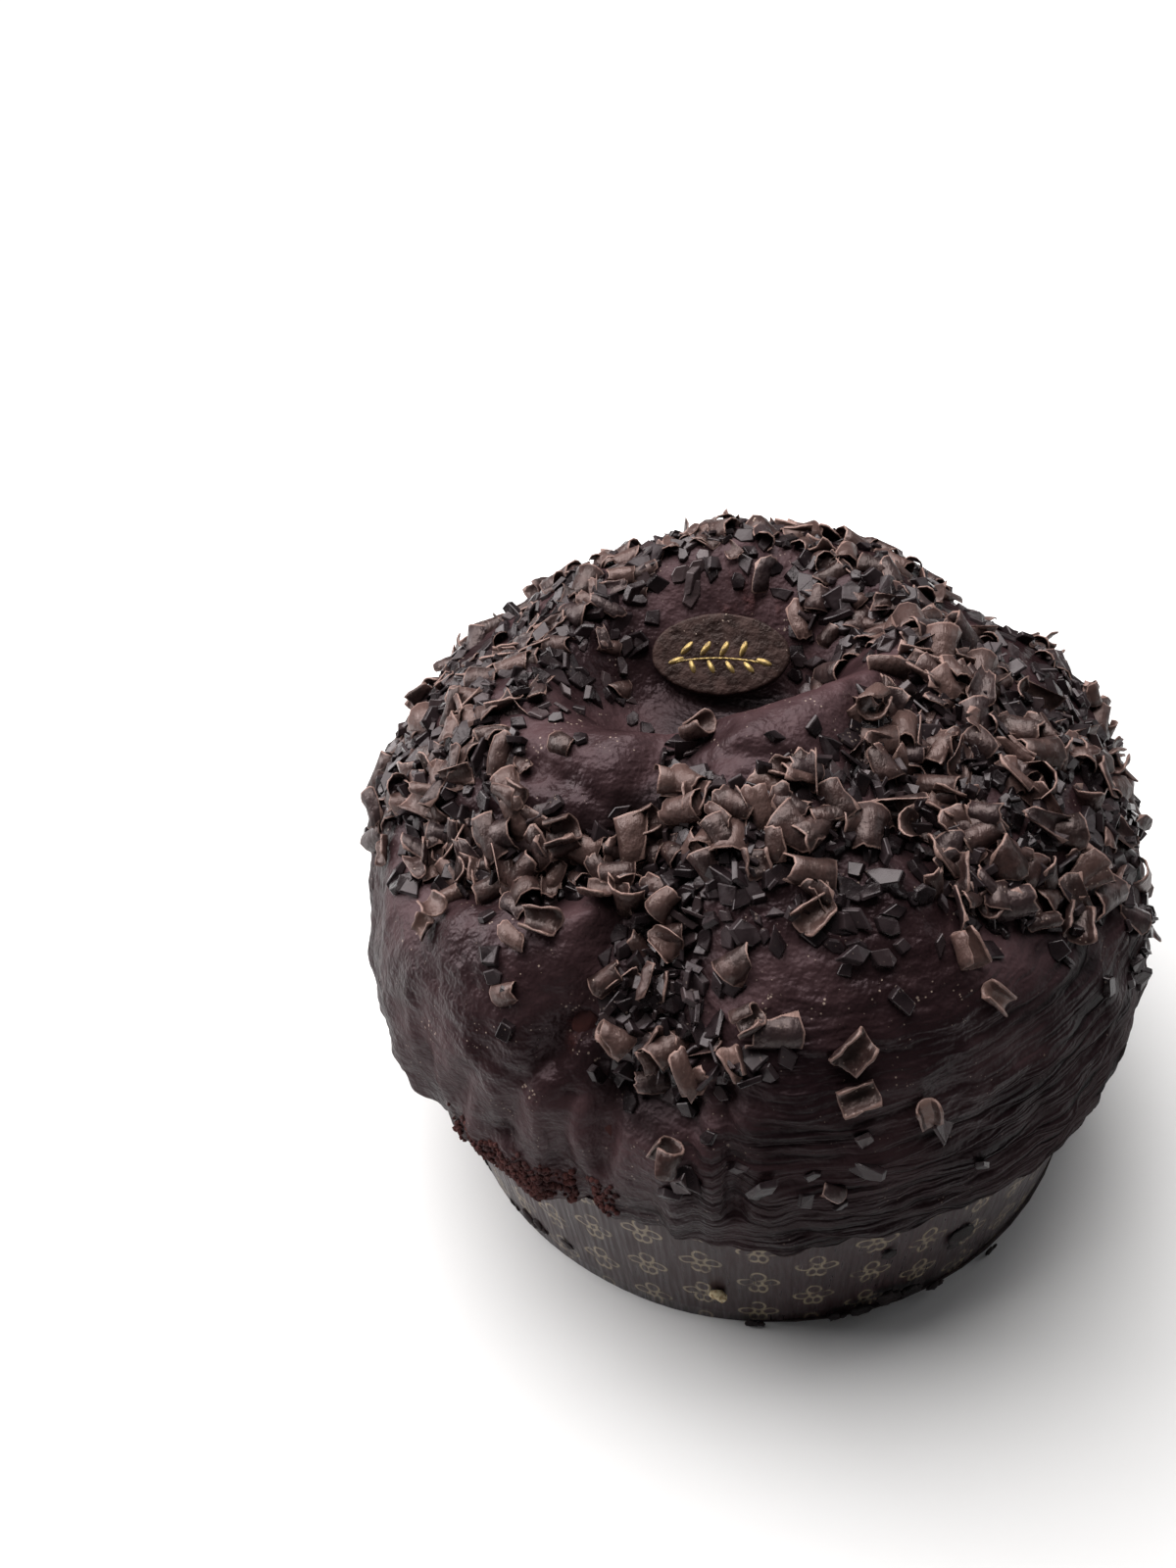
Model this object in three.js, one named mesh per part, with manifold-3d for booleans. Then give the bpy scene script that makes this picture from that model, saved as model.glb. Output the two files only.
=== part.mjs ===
// A glazed chocolate panettone in its paper baking mould, in millimetres, +Z up.
// The origin is the centre of the mould's underside, and -Y is the front, where the cross cut opened widest.
import * as THREE from "three";
import Module from "manifold-3d";

const wasm = await Module();
wasm.setup();

// ---- driving dimensions ----
const mould = {
  baseRadius: 100, // outside of the wall, at the table
  rimRadius: 103.6, // outside of the wall, at the rim
  height: 64,
  wall: 1.0,
  base: 0.8, // the disc glued into its foot
};
const dome = {
  radius: 112.6, // widest glaze radius
  widestZ: 71,
  topZ: 160, // where the apex would be without the crater
  squareness: 2.25, // 2 is an ellipse, more is boxier
  shift: [-2.5, 4], // the dough leaned this far from the mould's axis
};
const coat = 2.7; // thickness of the chocolate glaze
const lip = { height: 60.6, wave: 1.6, reach: 2.4 }; // the glaze's lower edge on the mould's wall
const gap = 0.4; // left between pieces that touch
const columns = 60; // points in each ring of the dome
const domeRows = 21;
const skirtRows = 6;

// Folds and pits of the baked crown. Each runs from one [azimuth, height angle] to another, in degrees;
// depth is in millimetres, inwards, and width is the half width in degrees of arc.
const folds = [
  { from: [172, 78], to: [60, 86], depth: 30, width: 11.6, edge: 3.2 }, // the central crater
  { from: [50, 85], to: [31, 72], depth: 11, width: 5, edge: 2.6 }, // its slit to the right
  { from: [243, 75], to: [249, 58], depth: 8, width: 5, edge: 2.6 }, // front valley, upper part
  { from: [249, 58], to: [256, 45], depth: 11, width: 7, edge: 2.6 },
  { from: [256, 42], to: [256, 25], depth: 11.5, width: 9, edge: 2.6 }, // front valley, lower part
  { from: [259, 25], to: [267, 25], depth: 3, width: 4, edge: 2.6 },
  { from: [245, 33], to: [246, 22], depth: 3.5, width: 3.5, edge: 2.6 }, // a crack beside it
  { from: [247, 59], to: [232, 49], depth: 10, width: 6, edge: 2.6 }, // left valley
  { from: [230, 48], to: [206, 37], depth: 7, width: 6.5, edge: 2.6 },
  { from: [334, 73], to: [312, 56], depth: 5, width: 6, edge: 2.6 }, // right valley
  { from: [311, 55], to: [308, 44], depth: 4, width: 6.5, edge: 2.6 },
  { from: [309, 42], to: [330, 30], depth: 3, width: 6, edge: 2.6 },
  { from: [104, 46], to: [94, 20], depth: 5.5, width: 8, edge: 2.6 }, // back valleys
  { from: [28, 60], to: [44, 30], depth: 5, width: 8, edge: 2.6 },
  { from: [162, 66], to: [158, 52], depth: 5, width: 8, edge: 2.6 },
];
// Rounded swellings between the folds; height is in millimetres, outwards.
const swells = [
  { at: [228, 22], height: 4.5, width: 20 },
  { at: [284, 36], height: 4, width: 24 },
  { at: [340, 80], height: 8, width: 7 },
  { at: [305, 78], height: 5, width: 6 },
  { at: [268, 74], height: 5, width: 7 },
  { at: [232, 68], height: 3, width: 9 },
  { at: [190, 62], height: 3, width: 15 },
  { at: [135, 62], height: 4, width: 16 },
  { at: [60, 62], height: 4.5, width: 18 },
  { at: [98, 64], height: 5, width: 9 },
  { at: [5, 40], height: -2, width: 18 },
  { at: [212, 4], height: 2.5, width: 16 },
  { at: [190, 16], height: -1, width: 14 },
  { at: [358, 14], height: -5.5, width: 16 },
  { at: [170, 20], height: 2.5, width: 20 },
  { at: [146, 28], height: 2, width: 14 },
  { at: [100, 20], height: 2, width: 18 },
];

const plaque = {
  length: 38,
  width: 23,
  thickness: 3.6,
  centre: [-10, 23, 142.6],
  lean: 48, // degrees that its face is turned up from upright
  roll: -3,
};
// Curls laid by hand where the topping is seen best: azimuth, height angle, spin, size.
const heroCurls = [
  [352, 70, 70, 1.45],
  [252, 76, 10, 0.9],
  [318, 74, 15, 1.15],
  [280, 69, 170, 1.0],
  [242, 63, 60, 1.1],
  [259, 66, 85, 1.0],
  [228, 56, 55, 1.1],
  [217, 55, 10, 1.0],
  [219, 43, 150, 1.1],
  [242, 50, 20, 1.05],
  [237, 42, 20, 1.1],
  [256, 39, 90, 1.05],
  [272, 57, 100, 1.1],
  [281, 50, 30, 1.15],
  [286, 61, 20, 1.0],
  [306, 50, 50, 1.2],
  [301, 40, 80, 1.15],
  [316, 58, 110, 1.05],
  [259, 31, 70, 1.0],
  [269, 31, 120, 0.95],
  [283, 32, 40, 1.25],
  [261, 15, 70, 1.2],
  [291, 20, 100, 1.0],
  [311, 44, 0, 1.1],
  [322, 33, 30, 1.1],
  [219, 31, 95, 0.95],
];
const curls = { count: 42, radius: 3.0, width: 7.4, sheet: 0.62, spread: [24, 80], turns: [150, 330] };
const chips = { count: 9, length: 6.2, width: 4.4, thick: 1.9, spread: [12, 70] };

// ---- materials ----
const glazeStuff = new THREE.MeshStandardMaterial({ color: 0x3a2a2d, roughness: 0.45, metalness: 0 });
const crumbStuff = new THREE.MeshStandardMaterial({ color: 0x5a2f22, roughness: 0.95, metalness: 0 });
const paperStuff = new THREE.MeshStandardMaterial({ color: 0x3d2c2c, roughness: 0.4, metalness: 0 });
const plaqueStuff = new THREE.MeshStandardMaterial({ color: 0x4a3a38, roughness: 0.6, metalness: 0 });
const curlStuff = new THREE.MeshStandardMaterial({ color: 0x7d5e55, roughness: 0.6, metalness: 0 });
const chipStuff = new THREE.MeshStandardMaterial({ color: 0x352a2c, roughness: 0.35, metalness: 0 });

// ---- small helpers ----
const radians = THREE.MathUtils.degToRad;
const chance = (seed) => {
  const s = Math.sin(seed * 127.1 + 11.7) * 43758.5453;
  return s - Math.floor(s);
};
const between = (seed, low, high) => low + (high - low) * chance(seed);

// A unit direction from the dome's centre.
function direction(azimuth, rise) {
  const a = radians(azimuth);
  const t = radians(rise);
  return new THREE.Vector3(Math.cos(t) * Math.cos(a), Math.cos(t) * Math.sin(a), Math.sin(t));
}

// Degrees of arc from direction d to the stretch between two others.
function arcDistance(d, from, to) {
  const along = new THREE.Vector3().subVectors(to, from);
  const length = along.lengthSq();
  const share = length < 1e-9 ? 0 : THREE.MathUtils.clamp(d.clone().sub(from).dot(along) / length, 0, 1);
  const nearest = from.clone().addScaledVector(along, share).normalize();
  return THREE.MathUtils.radToDeg(d.angleTo(nearest));
}

// How far the glaze stands out of the plain dome in direction d.
function relief(d) {
  let cut = 0;
  for (const f of folds) {
    const away = arcDistance(d, direction(...f.from), direction(...f.to)) / f.width;
    cut += Math.pow(f.depth * Math.exp(-Math.pow(away, f.edge)), 3);
  }
  let out = -Math.cbrt(cut); // so that folds that meet don't add up
  for (const s of swells) {
    const at = direction(...s.at);
    out += s.height * Math.exp(-Math.pow(arcDistance(d, at, at) / s.width, 2));
  }
  const ripple = Math.sin(7 * d.x + 3 * d.z + 1) * Math.cos(6 * d.y - 2 * d.z);
  return out + 1.1 * ripple + 0.6 * Math.sin(13 * d.x - 9 * d.y + 5 * d.z);
}

// A point of the dome at an azimuth and a height angle in degrees, set in from the glaze's outside.
function domePoint(azimuth, rise, inset) {
  const d = direction(azimuth, rise);
  const t = radians(rise);
  const level = dome.topZ - dome.widestZ;
  const reach = dome.radius * Math.pow(Math.max(Math.cos(t), 0), 2 / dome.squareness);
  const height = level * Math.pow(Math.sin(t), 2 / dome.squareness);
  const a = radians(azimuth);
  const normal = new THREE.Vector3(d.x / dome.radius, d.y / dome.radius, d.z / level).normalize();
  const push = relief(d) - inset;
  return new THREE.Vector3(
    dome.shift[0] + reach * Math.cos(a) + push * normal.x,
    dome.shift[1] + reach * Math.sin(a) + push * normal.y,
    dome.widestZ + height + push * normal.z,
  );
}

const wallRadius = (z) => mould.baseRadius + ((mould.rimRadius - mould.baseRadius) * z) / mould.height;

// The underside of the overhang: a quarter round from the widest ring in to a lower edge.
function skirtPoint(azimuth, share, inset, edgeRadius, edgeZ) {
  const a = radians(azimuth);
  const widest = domePoint(azimuth, 0, inset);
  const turn = (share * Math.PI) / 2;
  const full = Math.pow(Math.max(Math.cos(turn), 0), 0.75);
  const edge = new THREE.Vector3(edgeRadius * Math.cos(a), edgeRadius * Math.sin(a), edgeZ);
  return new THREE.Vector3(
    edge.x + (widest.x - edge.x) * full,
    edge.y + (widest.y - edge.y) * full,
    widest.z + (edge.z - widest.z) * Math.sin(turn),
  );
}

const lipZ = (azimuth) => {
  const a = radians(azimuth);
  return lip.height + lip.wave * (Math.sin(8 * a - 2.62) + Math.sin(3 * a - 0.785) * 0.8);
};

// ---- meshes from rings ----
// Joins rings of points, each the same length, into one closed surface with a single point at each end.
// From the ring `turned` on, the quads are split along their other diagonal.
function closedRings(first, rings, last, turned = rings.length) {
  const points = [first, ...rings.flat(), last];
  const n = rings[0].length;
  const index = [];
  const at = (ring, i) => 1 + ring * n + (i % n);
  for (let i = 0; i < n; i++) index.push(0, at(0, i), at(0, i + 1));
  for (let r = 0; r + 1 < rings.length; r++) {
    for (let i = 0; i < n; i++) {
      const [here, next] = r < turned ? [at(r, i), at(r + 1, i + 1)] : [at(r, i + 1), at(r + 1, i)];
      index.push(at(r, i), at(r + 1, i), r < turned ? next : here);
      index.push(r < turned ? here : at(r + 1, i), r < turned ? next : at(r + 1, i + 1), at(r, i + 1));
    }
  }
  const end = points.length - 1;
  for (let i = 0; i < n; i++) index.push(at(rings.length - 1, i), end, at(rings.length - 1, i + 1));
  const geometry = new THREE.BufferGeometry().setFromPoints(points);
  geometry.setIndex(index);
  geometry.computeVertexNormals();
  return geometry;
}

const azimuths = Array.from({ length: columns }, (_, i) => (i * 360) / columns);
const ringOf = (make) => azimuths.map((azimuth) => make(azimuth));
// Height angles from near the pole down to the widest ring, closer together near the pole's crater.
const rises = Array.from({ length: domeRows }, (_, k) => 90 * (1 - Math.pow((k + 1) / domeRows, 0.95)));

function glazeGeometry() {
  const outer = rises.map((rise) => ringOf((a) => domePoint(a, rise, 0)));
  const inner = rises.map((rise) => ringOf((a) => domePoint(a, rise, coat))).reverse();
  const under = [];
  const inside = [];
  for (let k = 1; k <= skirtRows; k++) {
    const share = k / skirtRows;
    under.push(ringOf((a) => skirtPoint(a, share, 0, wallRadius(lipZ(a)) + gap + lip.reach, lipZ(a))));
    inside.push(ringOf((a) => skirtPoint(a, share, coat, wallRadius(lipZ(a)) + gap, lipZ(a) + 1)));
  }
  const rings = [...outer, ...under, ...inside.reverse(), ...inner];
  return closedRings(domePoint(0, 90, 0), rings, domePoint(0, 90, coat), outer.length + under.length);
}

function loafGeometry() {
  const inset = coat + gap;
  const crown = rises.map((rise) => ringOf((a) => domePoint(a, rise, inset)));
  const rimZ = mould.height + 2 * gap;
  const rimInside = mould.rimRadius - mould.wall - gap;
  const under = [];
  for (let k = 1; k <= 3; k++) {
    under.push(ringOf((a) => skirtPoint(a, k / 3, inset, rimInside, rimZ)));
  }
  const inside = (z) => wallRadius(z) - mould.wall - gap;
  const sides = [
    [inside(mould.height), mould.height - 1],
    [inside(12), 12],
    [inside(5) - 1.2, 5],
    [inside(2) - 4.5, mould.base + gap],
  ];
  const body = sides.map(([r, z]) => {
    return ringOf((a) => new THREE.Vector3(r * Math.cos(radians(a)), r * Math.sin(radians(a)), z));
  });
  const rings = [...crown, ...under, ...body];
  return closedRings(domePoint(0, 90, inset), rings, new THREE.Vector3(0, 0, mould.base + gap));
}

// ---- the paper mould ----
function mouldWallGeometry() {
  const inRim = mould.rimRadius - mould.wall;
  const inBase = mould.baseRadius - mould.wall;
  const profile = [
    new THREE.Vector2(inBase, 0),
    new THREE.Vector2(mould.baseRadius, 0),
    new THREE.Vector2(mould.rimRadius, mould.height),
    new THREE.Vector2(inRim, mould.height),
    new THREE.Vector2(inBase, 0),
  ];
  return new THREE.LatheGeometry(profile, columns);
}

function mouldBaseGeometry() {
  const outside = mould.baseRadius - mould.wall - gap;
  const profile = [
    new THREE.Vector2(0, 0),
    new THREE.Vector2(outside, 0),
    new THREE.Vector2(outside, mould.base),
    new THREE.Vector2(0, mould.base),
  ];
  return new THREE.LatheGeometry(profile, columns);
}

// ---- the plaque ----
function plaqueGeometry() {
  const half = plaque.length / 2;
  const side = plaque.width / 2 - 0.7;
  const outline = new THREE.Shape();
  outline.moveTo(-half + 0.7, 0);
  outline.bezierCurveTo(-half * 0.72, side * 0.85, -half * 0.36, side, 0, side);
  outline.bezierCurveTo(half * 0.36, side, half * 0.72, side * 0.85, half - 0.7, 0);
  outline.bezierCurveTo(half * 0.72, -side * 0.85, half * 0.36, -side, 0, -side);
  outline.bezierCurveTo(-half * 0.36, -side, -half * 0.72, -side * 0.85, -half + 0.7, 0);
  const bevel = 0.7;
  const geometry = new THREE.ExtrudeGeometry(outline, {
    depth: plaque.thickness - 2 * bevel,
    bevelSize: bevel,
    bevelThickness: bevel,
    bevelSegments: 2,
    curveSegments: 9,
  });
  return geometry.translate(0, 0, -(plaque.thickness - 2 * bevel) / 2);
}

// ---- the topping ----
// A sheet that is curled about its own X axis, with its ends cut askew. It rests on Z = 0.
function curlGeometry(seed, size) {
  const radius = curls.radius * size * between(seed + 1, 0.8, 1.15);
  const width = curls.width * size * between(seed + 2, 0.8, 1.2);
  const turn = radians(between(seed + 3, ...curls.turns));
  const cone = between(seed + 4, -0.22, 0.22);
  const skew = between(seed + 5, -0.35, 0.35);
  const steps = Math.max(6, Math.round(turn / radians(32)));
  const start = -Math.PI / 2 - turn * between(seed + 6, 0.35, 0.65);
  const across = 2;
  const side = (offset) => {
    const rows = [];
    for (let i = 0; i <= steps; i++) {
      const u = i / steps;
      const row = [];
      for (let j = 0; j <= across; j++) {
        const v = j / across - 0.5;
        const angle = start + turn * (u + skew * v * (u - 0.5));
        const r = radius * (1 + cone * v * 2) * (1 - 0.22 * u) + offset;
        const bite = 1 - 0.16 * Math.pow(2 * u - 1, 2) + 0.1 * Math.sin(5 * u + seed);
        row.push(new THREE.Vector3(width * v * bite, r * Math.cos(angle), r * Math.sin(angle)));
      }
      rows.push(row);
    }
    return rows;
  };
  const outside = side(curls.sheet / 2);
  const inside = side(-curls.sheet / 2);
  return sheetGeometry(outside, inside);
}

// A closed solid between two grids of points.
function sheetGeometry(outside, inside) {
  const rows = outside.length;
  const across = outside[0].length;
  const points = [...outside.flat(), ...inside.flat()];
  const top = (i, j) => i * across + j;
  const under = (i, j) => rows * across + i * across + j;
  const index = [];
  const quad = (a, b, c, d) => index.push(a, b, c, a, c, d);
  for (let i = 0; i + 1 < rows; i++) {
    for (let j = 0; j + 1 < across; j++) {
      quad(top(i, j), top(i, j + 1), top(i + 1, j + 1), top(i + 1, j));
      quad(under(i, j), under(i + 1, j), under(i + 1, j + 1), under(i, j + 1));
    }
    quad(top(i, 0), top(i + 1, 0), under(i + 1, 0), under(i, 0));
    quad(top(i, across - 1), under(i, across - 1), under(i + 1, across - 1), top(i + 1, across - 1));
  }
  for (let j = 0; j + 1 < across; j++) {
    quad(top(0, j), under(0, j), under(0, j + 1), top(0, j + 1));
    quad(top(rows - 1, j), top(rows - 1, j + 1), under(rows - 1, j + 1), under(rows - 1, j));
  }
  const geometry = new THREE.BufferGeometry().setFromPoints(points);
  geometry.setIndex(index);
  const solid = solidOf(geometry);
  if (solid.volume() < 0) {
    const turned = geometry.index.array;
    for (let k = 0; k < turned.length; k += 3) [turned[k + 1], turned[k + 2]] = [turned[k + 2], turned[k + 1]];
  }
  geometry.computeVertexNormals();
  return geometry;
}

// A broken chip of dark chocolate: a slab with uneven corners. It rests on Z = 0.
function chipGeometry(seed) {
  const geometry = new THREE.BoxGeometry(chips.length, chips.width, chips.thick);
  const position = geometry.getAttribute("position");
  for (let i = 0; i < position.count; i++) {
    const corner = (position.getX(i) > 0 ? 1 : 0) + (position.getY(i) > 0 ? 2 : 0);
    const flare = position.getZ(i) > 0 ? 0.86 : 1;
    position.setX(i, position.getX(i) * flare * between(seed + corner, 0.62, 1.1));
    position.setY(i, position.getY(i) * flare * between(seed + corner + 9, 0.62, 1.15));
  }
  geometry.computeVertexNormals();
  return geometry;
}

// A closed geometry as a solid, for overlap tests.
function solidOf(geometry, matrix = new THREE.Matrix4()) {
  const placed = new THREE.BufferGeometry();
  placed.setAttribute("position", geometry.getAttribute("position").clone());
  placed.applyMatrix4(matrix);
  const source = placed.getAttribute("position").array;
  const found = new Map();
  const vertices = [];
  const name = (i) => {
    const key = [0, 1, 2].map((k) => source[i * 3 + k].toFixed(3)).join();
    if (!found.has(key)) {
      found.set(key, vertices.length / 3);
      vertices.push(source[i * 3], source[i * 3 + 1], source[i * 3 + 2]);
    }
    return found.get(key);
  };
  const order = geometry.index ? Array.from(geometry.index.array) : [...Array(source.length / 3).keys()];
  const triangles = order.map(name);
  return new wasm.Manifold(
    new wasm.Mesh({
      numProp: 3,
      vertProperties: new Float32Array(vertices),
      triVerts: new Uint32Array(triangles),
    }),
  );
}

// ---- assembly ----
const panettone = new THREE.Group();

function add(name, geometry, material, place = () => {}) {
  const mesh = new THREE.Mesh(geometry, material);
  mesh.name = name;
  place(mesh);
  panettone.add(mesh);
  return mesh;
}

const upright = (mesh) => mesh.rotation.set(Math.PI / 2, 0, 0);
add("mould_base", mouldBaseGeometry(), paperStuff, upright);
add("mould_wall", mouldWallGeometry(), paperStuff, upright);
add("loaf", loafGeometry(), crumbStuff);
const glaze = add("glaze", glazeGeometry(), glazeStuff);
const plaqueMesh = add("plaque", plaqueGeometry(), plaqueStuff, (mesh) => {
  mesh.position.set(...plaque.centre);
  mesh.rotation.set(radians(90 - plaque.lean), 0, radians(plaque.roll));
});

// Lays a piece on the glaze at a place, spun about the surface's normal, and lifts it until it is clear
// of everything that is already there. Returns false where it would have to be lifted too far.
plaqueMesh.updateMatrix();
const laid = [solidOf(glaze.geometry), solidOf(plaqueMesh.geometry, plaqueMesh.matrix)];
function lay(mesh, azimuth, rise, spin) {
  const here = domePoint(azimuth, rise, 0);
  const east = domePoint(azimuth + 1.5, rise, 0).sub(domePoint(azimuth - 1.5, rise, 0)).normalize();
  const north = domePoint(azimuth, rise + 1.5, 0).sub(domePoint(azimuth, rise - 1.5, 0)).normalize();
  const up = new THREE.Vector3().crossVectors(east, north).normalize();
  const frame = new THREE.Matrix4().makeBasis(east, new THREE.Vector3().crossVectors(up, east), up);
  const low = mesh.geometry.boundingBox ?? (mesh.geometry.computeBoundingBox(), mesh.geometry.boundingBox);
  mesh.quaternion.setFromRotationMatrix(frame.multiply(new THREE.Matrix4().makeRotationZ(radians(spin))));
  for (let lift = gap; lift < 3.5; lift += 0.25) {
    mesh.position.copy(here).addScaledVector(up, lift - low.min.z);
    mesh.updateMatrix();
    const solid = solidOf(mesh.geometry, mesh.matrix);
    if (laid.every((other) => solid.intersect(other).volume() < 1e-4)) {
      laid.push(solid);
      return true;
    }
  }
  return false;
}

const twoDigits = (n) => String(n).padStart(2, "0");
const goldenAngle = 137.508;

// The k-th place of an even spread over the crown, between two height angles.
function spreadPlace(k, count, [low, high]) {
  const sines = [Math.sin(radians(low)), Math.sin(radians(high))];
  const share = (k + 0.5) / count;
  const rise = THREE.MathUtils.radToDeg(Math.asin(sines[0] + (sines[1] - sines[0]) * share));
  return [k * goldenAngle + 8, rise];
}

let curlCount = 0;
function addCurl(seed, azimuth, rise, spin, size) {
  if (curlCount === curls.count) return;
  const mesh = new THREE.Mesh(curlGeometry(seed, size), curlStuff);
  if (!lay(mesh, azimuth, rise, spin)) return;
  curlCount += 1;
  mesh.name = "curl_" + twoDigits(curlCount);
  panettone.add(mesh);
}
heroCurls.forEach(([azimuth, rise, spin, size], k) => addCurl(40 + 7 * k, azimuth, rise, spin, size));
for (let k = 0; curlCount < curls.count; k++) {
  const [azimuth, rise] = spreadPlace(k, 46, curls.spread);
  addCurl(300 + 11 * k, azimuth, rise, between(k + 500, 0, 180), between(k + 600, 0.85, 1.15));
}

let chipCount = 0;
for (let k = 0; chipCount < chips.count; k++) {
  const [azimuth, rise] = spreadPlace(k, 14, chips.spread);
  const mesh = new THREE.Mesh(chipGeometry(800 + 13 * k), chipStuff);
  if (!lay(mesh, azimuth + 40, rise, between(k + 900, 0, 180))) continue;
  chipCount += 1;
  mesh.name = "chip_" + twoDigits(chipCount);
  panettone.add(mesh);
}

export default panettone;
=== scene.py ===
import math
import random

import bmesh
import bpy
import numpy as np
from mathutils import Matrix, Vector, noise
from mathutils.bvhtree import BVHTree


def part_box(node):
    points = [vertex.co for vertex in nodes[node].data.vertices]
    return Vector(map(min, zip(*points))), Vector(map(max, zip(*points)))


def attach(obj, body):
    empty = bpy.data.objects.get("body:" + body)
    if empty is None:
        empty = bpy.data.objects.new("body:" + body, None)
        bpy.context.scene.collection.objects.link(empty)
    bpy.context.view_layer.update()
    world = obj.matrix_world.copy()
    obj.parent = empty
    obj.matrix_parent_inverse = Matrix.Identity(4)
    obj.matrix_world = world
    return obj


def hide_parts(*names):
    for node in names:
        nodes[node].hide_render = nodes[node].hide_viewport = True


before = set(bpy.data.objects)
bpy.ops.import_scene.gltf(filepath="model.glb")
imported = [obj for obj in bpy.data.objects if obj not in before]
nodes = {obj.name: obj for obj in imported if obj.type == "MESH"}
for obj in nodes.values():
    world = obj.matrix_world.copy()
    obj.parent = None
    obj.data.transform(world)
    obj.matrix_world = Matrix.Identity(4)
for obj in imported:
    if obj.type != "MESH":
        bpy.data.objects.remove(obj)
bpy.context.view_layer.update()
mm = 0.001
noise.seed_set(7)  # else the noise vectors start from the clock
print("frame loaded, nodes:", len(nodes))


# helpers for the materials
def newMaterial(name, roughness, specular=0.5, tint=(1, 1, 1)):
    material = bpy.data.materials.new(name)
    material.use_nodes = True
    tree = material.node_tree
    shader = tree.nodes["Principled BSDF"]
    shader.inputs["Roughness"].default_value = roughness
    shader.inputs["Specular IOR Level"].default_value = specular
    shader.inputs["Specular Tint"].default_value = (*tint, 1)
    return material, tree, shader


def addNode(tree, kind, settings=None, inputs=None):
    node = tree.nodes.new(kind)
    for key, value in (settings or {}).items():
        setattr(node, key, value)
    for key, value in (inputs or {}).items():
        if isinstance(value, bpy.types.NodeSocket):
            tree.links.new(value, node.inputs[key])
        else:
            node.inputs[key].default_value = value
    return node


def mathNode(tree, operation, a, b=0.0, clamp=False):
    settings = {"operation": operation, "use_clamp": clamp}
    return addNode(tree, "ShaderNodeMath", settings, {0: a, 1: b}).outputs[0]


def plus(tree, a, b, clamp=False):
    return mathNode(tree, "ADD", a, b, clamp)


def minus(tree, a, b):
    return mathNode(tree, "SUBTRACT", a, b)


def times(tree, a, b):
    return mathNode(tree, "MULTIPLY", a, b)


def over(tree, a, b):
    return mathNode(tree, "DIVIDE", a, b)


def mixColour(tree, share, a, b):
    a, b = [c if isinstance(c, bpy.types.NodeSocket) else (*c, 1) for c in (a, b)]
    return addNode(tree, "ShaderNodeMix", {"data_type": "RGBA"}, {0: share, 6: a, 7: b}).outputs[2]


def spread(tree, value, low, high, toLow=0.0, toHigh=1.0):
    inputs = {0: value, 1: low, 2: high, 3: toLow, 4: toHigh}
    return addNode(tree, "ShaderNodeMapRange", {"interpolation_type": "SMOOTHSTEP"}, inputs).outputs[0]


def noiseAt(tree, place, scale, detail=3.0, roughness=0.5):
    inputs = {"Vector": place, "Scale": scale, "Detail": detail, "Roughness": roughness}
    return addNode(tree, "ShaderNodeTexNoise", None, inputs).outputs["Fac"]


def stretched(tree, place, scale, turn=(0, 0, 0)):
    inputs = {"Vector": place, "Scale": scale, "Rotation": turn}
    return addNode(tree, "ShaderNodeMapping", None, inputs).outputs[0]


def objectPlace(tree):
    return addNode(tree, "ShaderNodeTexCoord").outputs["Object"]


def attributeOf(tree, name):
    return addNode(tree, "ShaderNodeAttribute", {"attribute_name": name}).outputs["Fac"]


# set chocolate, as every chocolate piece has it: cloudy patches, tiny pale specks and a fine uneven skin.
def buildSetChocolate():
    group = bpy.data.node_groups.new("setChocolate", "ShaderNodeTree")
    face = group.interface
    for name, kind, value in (
        ("Dark", "NodeSocketColor", (0.03, 0.017, 0.018, 1)),
        ("Pale", "NodeSocketColor", (0.06, 0.04, 0.04, 1)),
        ("Speck", "NodeSocketColor", (0.3, 0.23, 0.19, 1)),
        ("Specks", "NodeSocketFloat", 0.5),
        ("Patch Scale", "NodeSocketFloat", 40.0),
    ):
        face.new_socket(name, in_out="INPUT", socket_type=kind).default_value = value
    face.new_socket("Color", in_out="OUTPUT", socket_type="NodeSocketColor")
    face.new_socket("Cloud", in_out="OUTPUT", socket_type="NodeSocketFloat")
    face.new_socket("Height", in_out="OUTPUT", socket_type="NodeSocketFloat")
    given = group.nodes.new("NodeGroupInput").outputs
    out = group.nodes.new("NodeGroupOutput").inputs
    place = objectPlace(group)
    cloud = spread(group, noiseAt(group, place, given["Patch Scale"], 4.0), 0.34, 0.68)
    fine = noiseAt(group, place, 900.0, 2.0)
    dots = addNode(group, "ShaderNodeTexVoronoi", None, {"Vector": place, "Scale": 760.0})
    dotSize = spread(group, noiseAt(group, place, 90.0, 2.0), 0.44, 0.74, 0.0, 0.25)
    speck = spread(group, minus(group, dots.outputs["Distance"], dotSize), 0.0, 0.05, 1.0, 0.0)
    speck = times(group, speck, spread(group, noiseAt(group, place, 520.0, 1.0), 0.47, 0.56))
    speck = times(group, speck, given["Specks"])
    colour = mixColour(group, cloud, given["Dark"], given["Pale"])
    group.links.new(mixColour(group, speck, colour, given["Speck"]), out["Color"])
    group.links.new(cloud, out["Cloud"])
    height = plus(group, times(group, fine, 0.35), noiseAt(group, place, 260.0, 3.0))
    group.links.new(height, out["Height"])
    return group


setChocolate = buildSetChocolate()


def chocolateNode(tree, dark, pale, specks, patchScale):
    node = addNode(tree, "ShaderNodeGroup", {"node_tree": setChocolate})
    node.inputs["Dark"].default_value = (*dark, 1)
    node.inputs["Pale"].default_value = (*pale, 1)
    node.inputs["Specks"].default_value = specks
    node.inputs["Patch Scale"].default_value = patchScale
    return node.outputs


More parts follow.
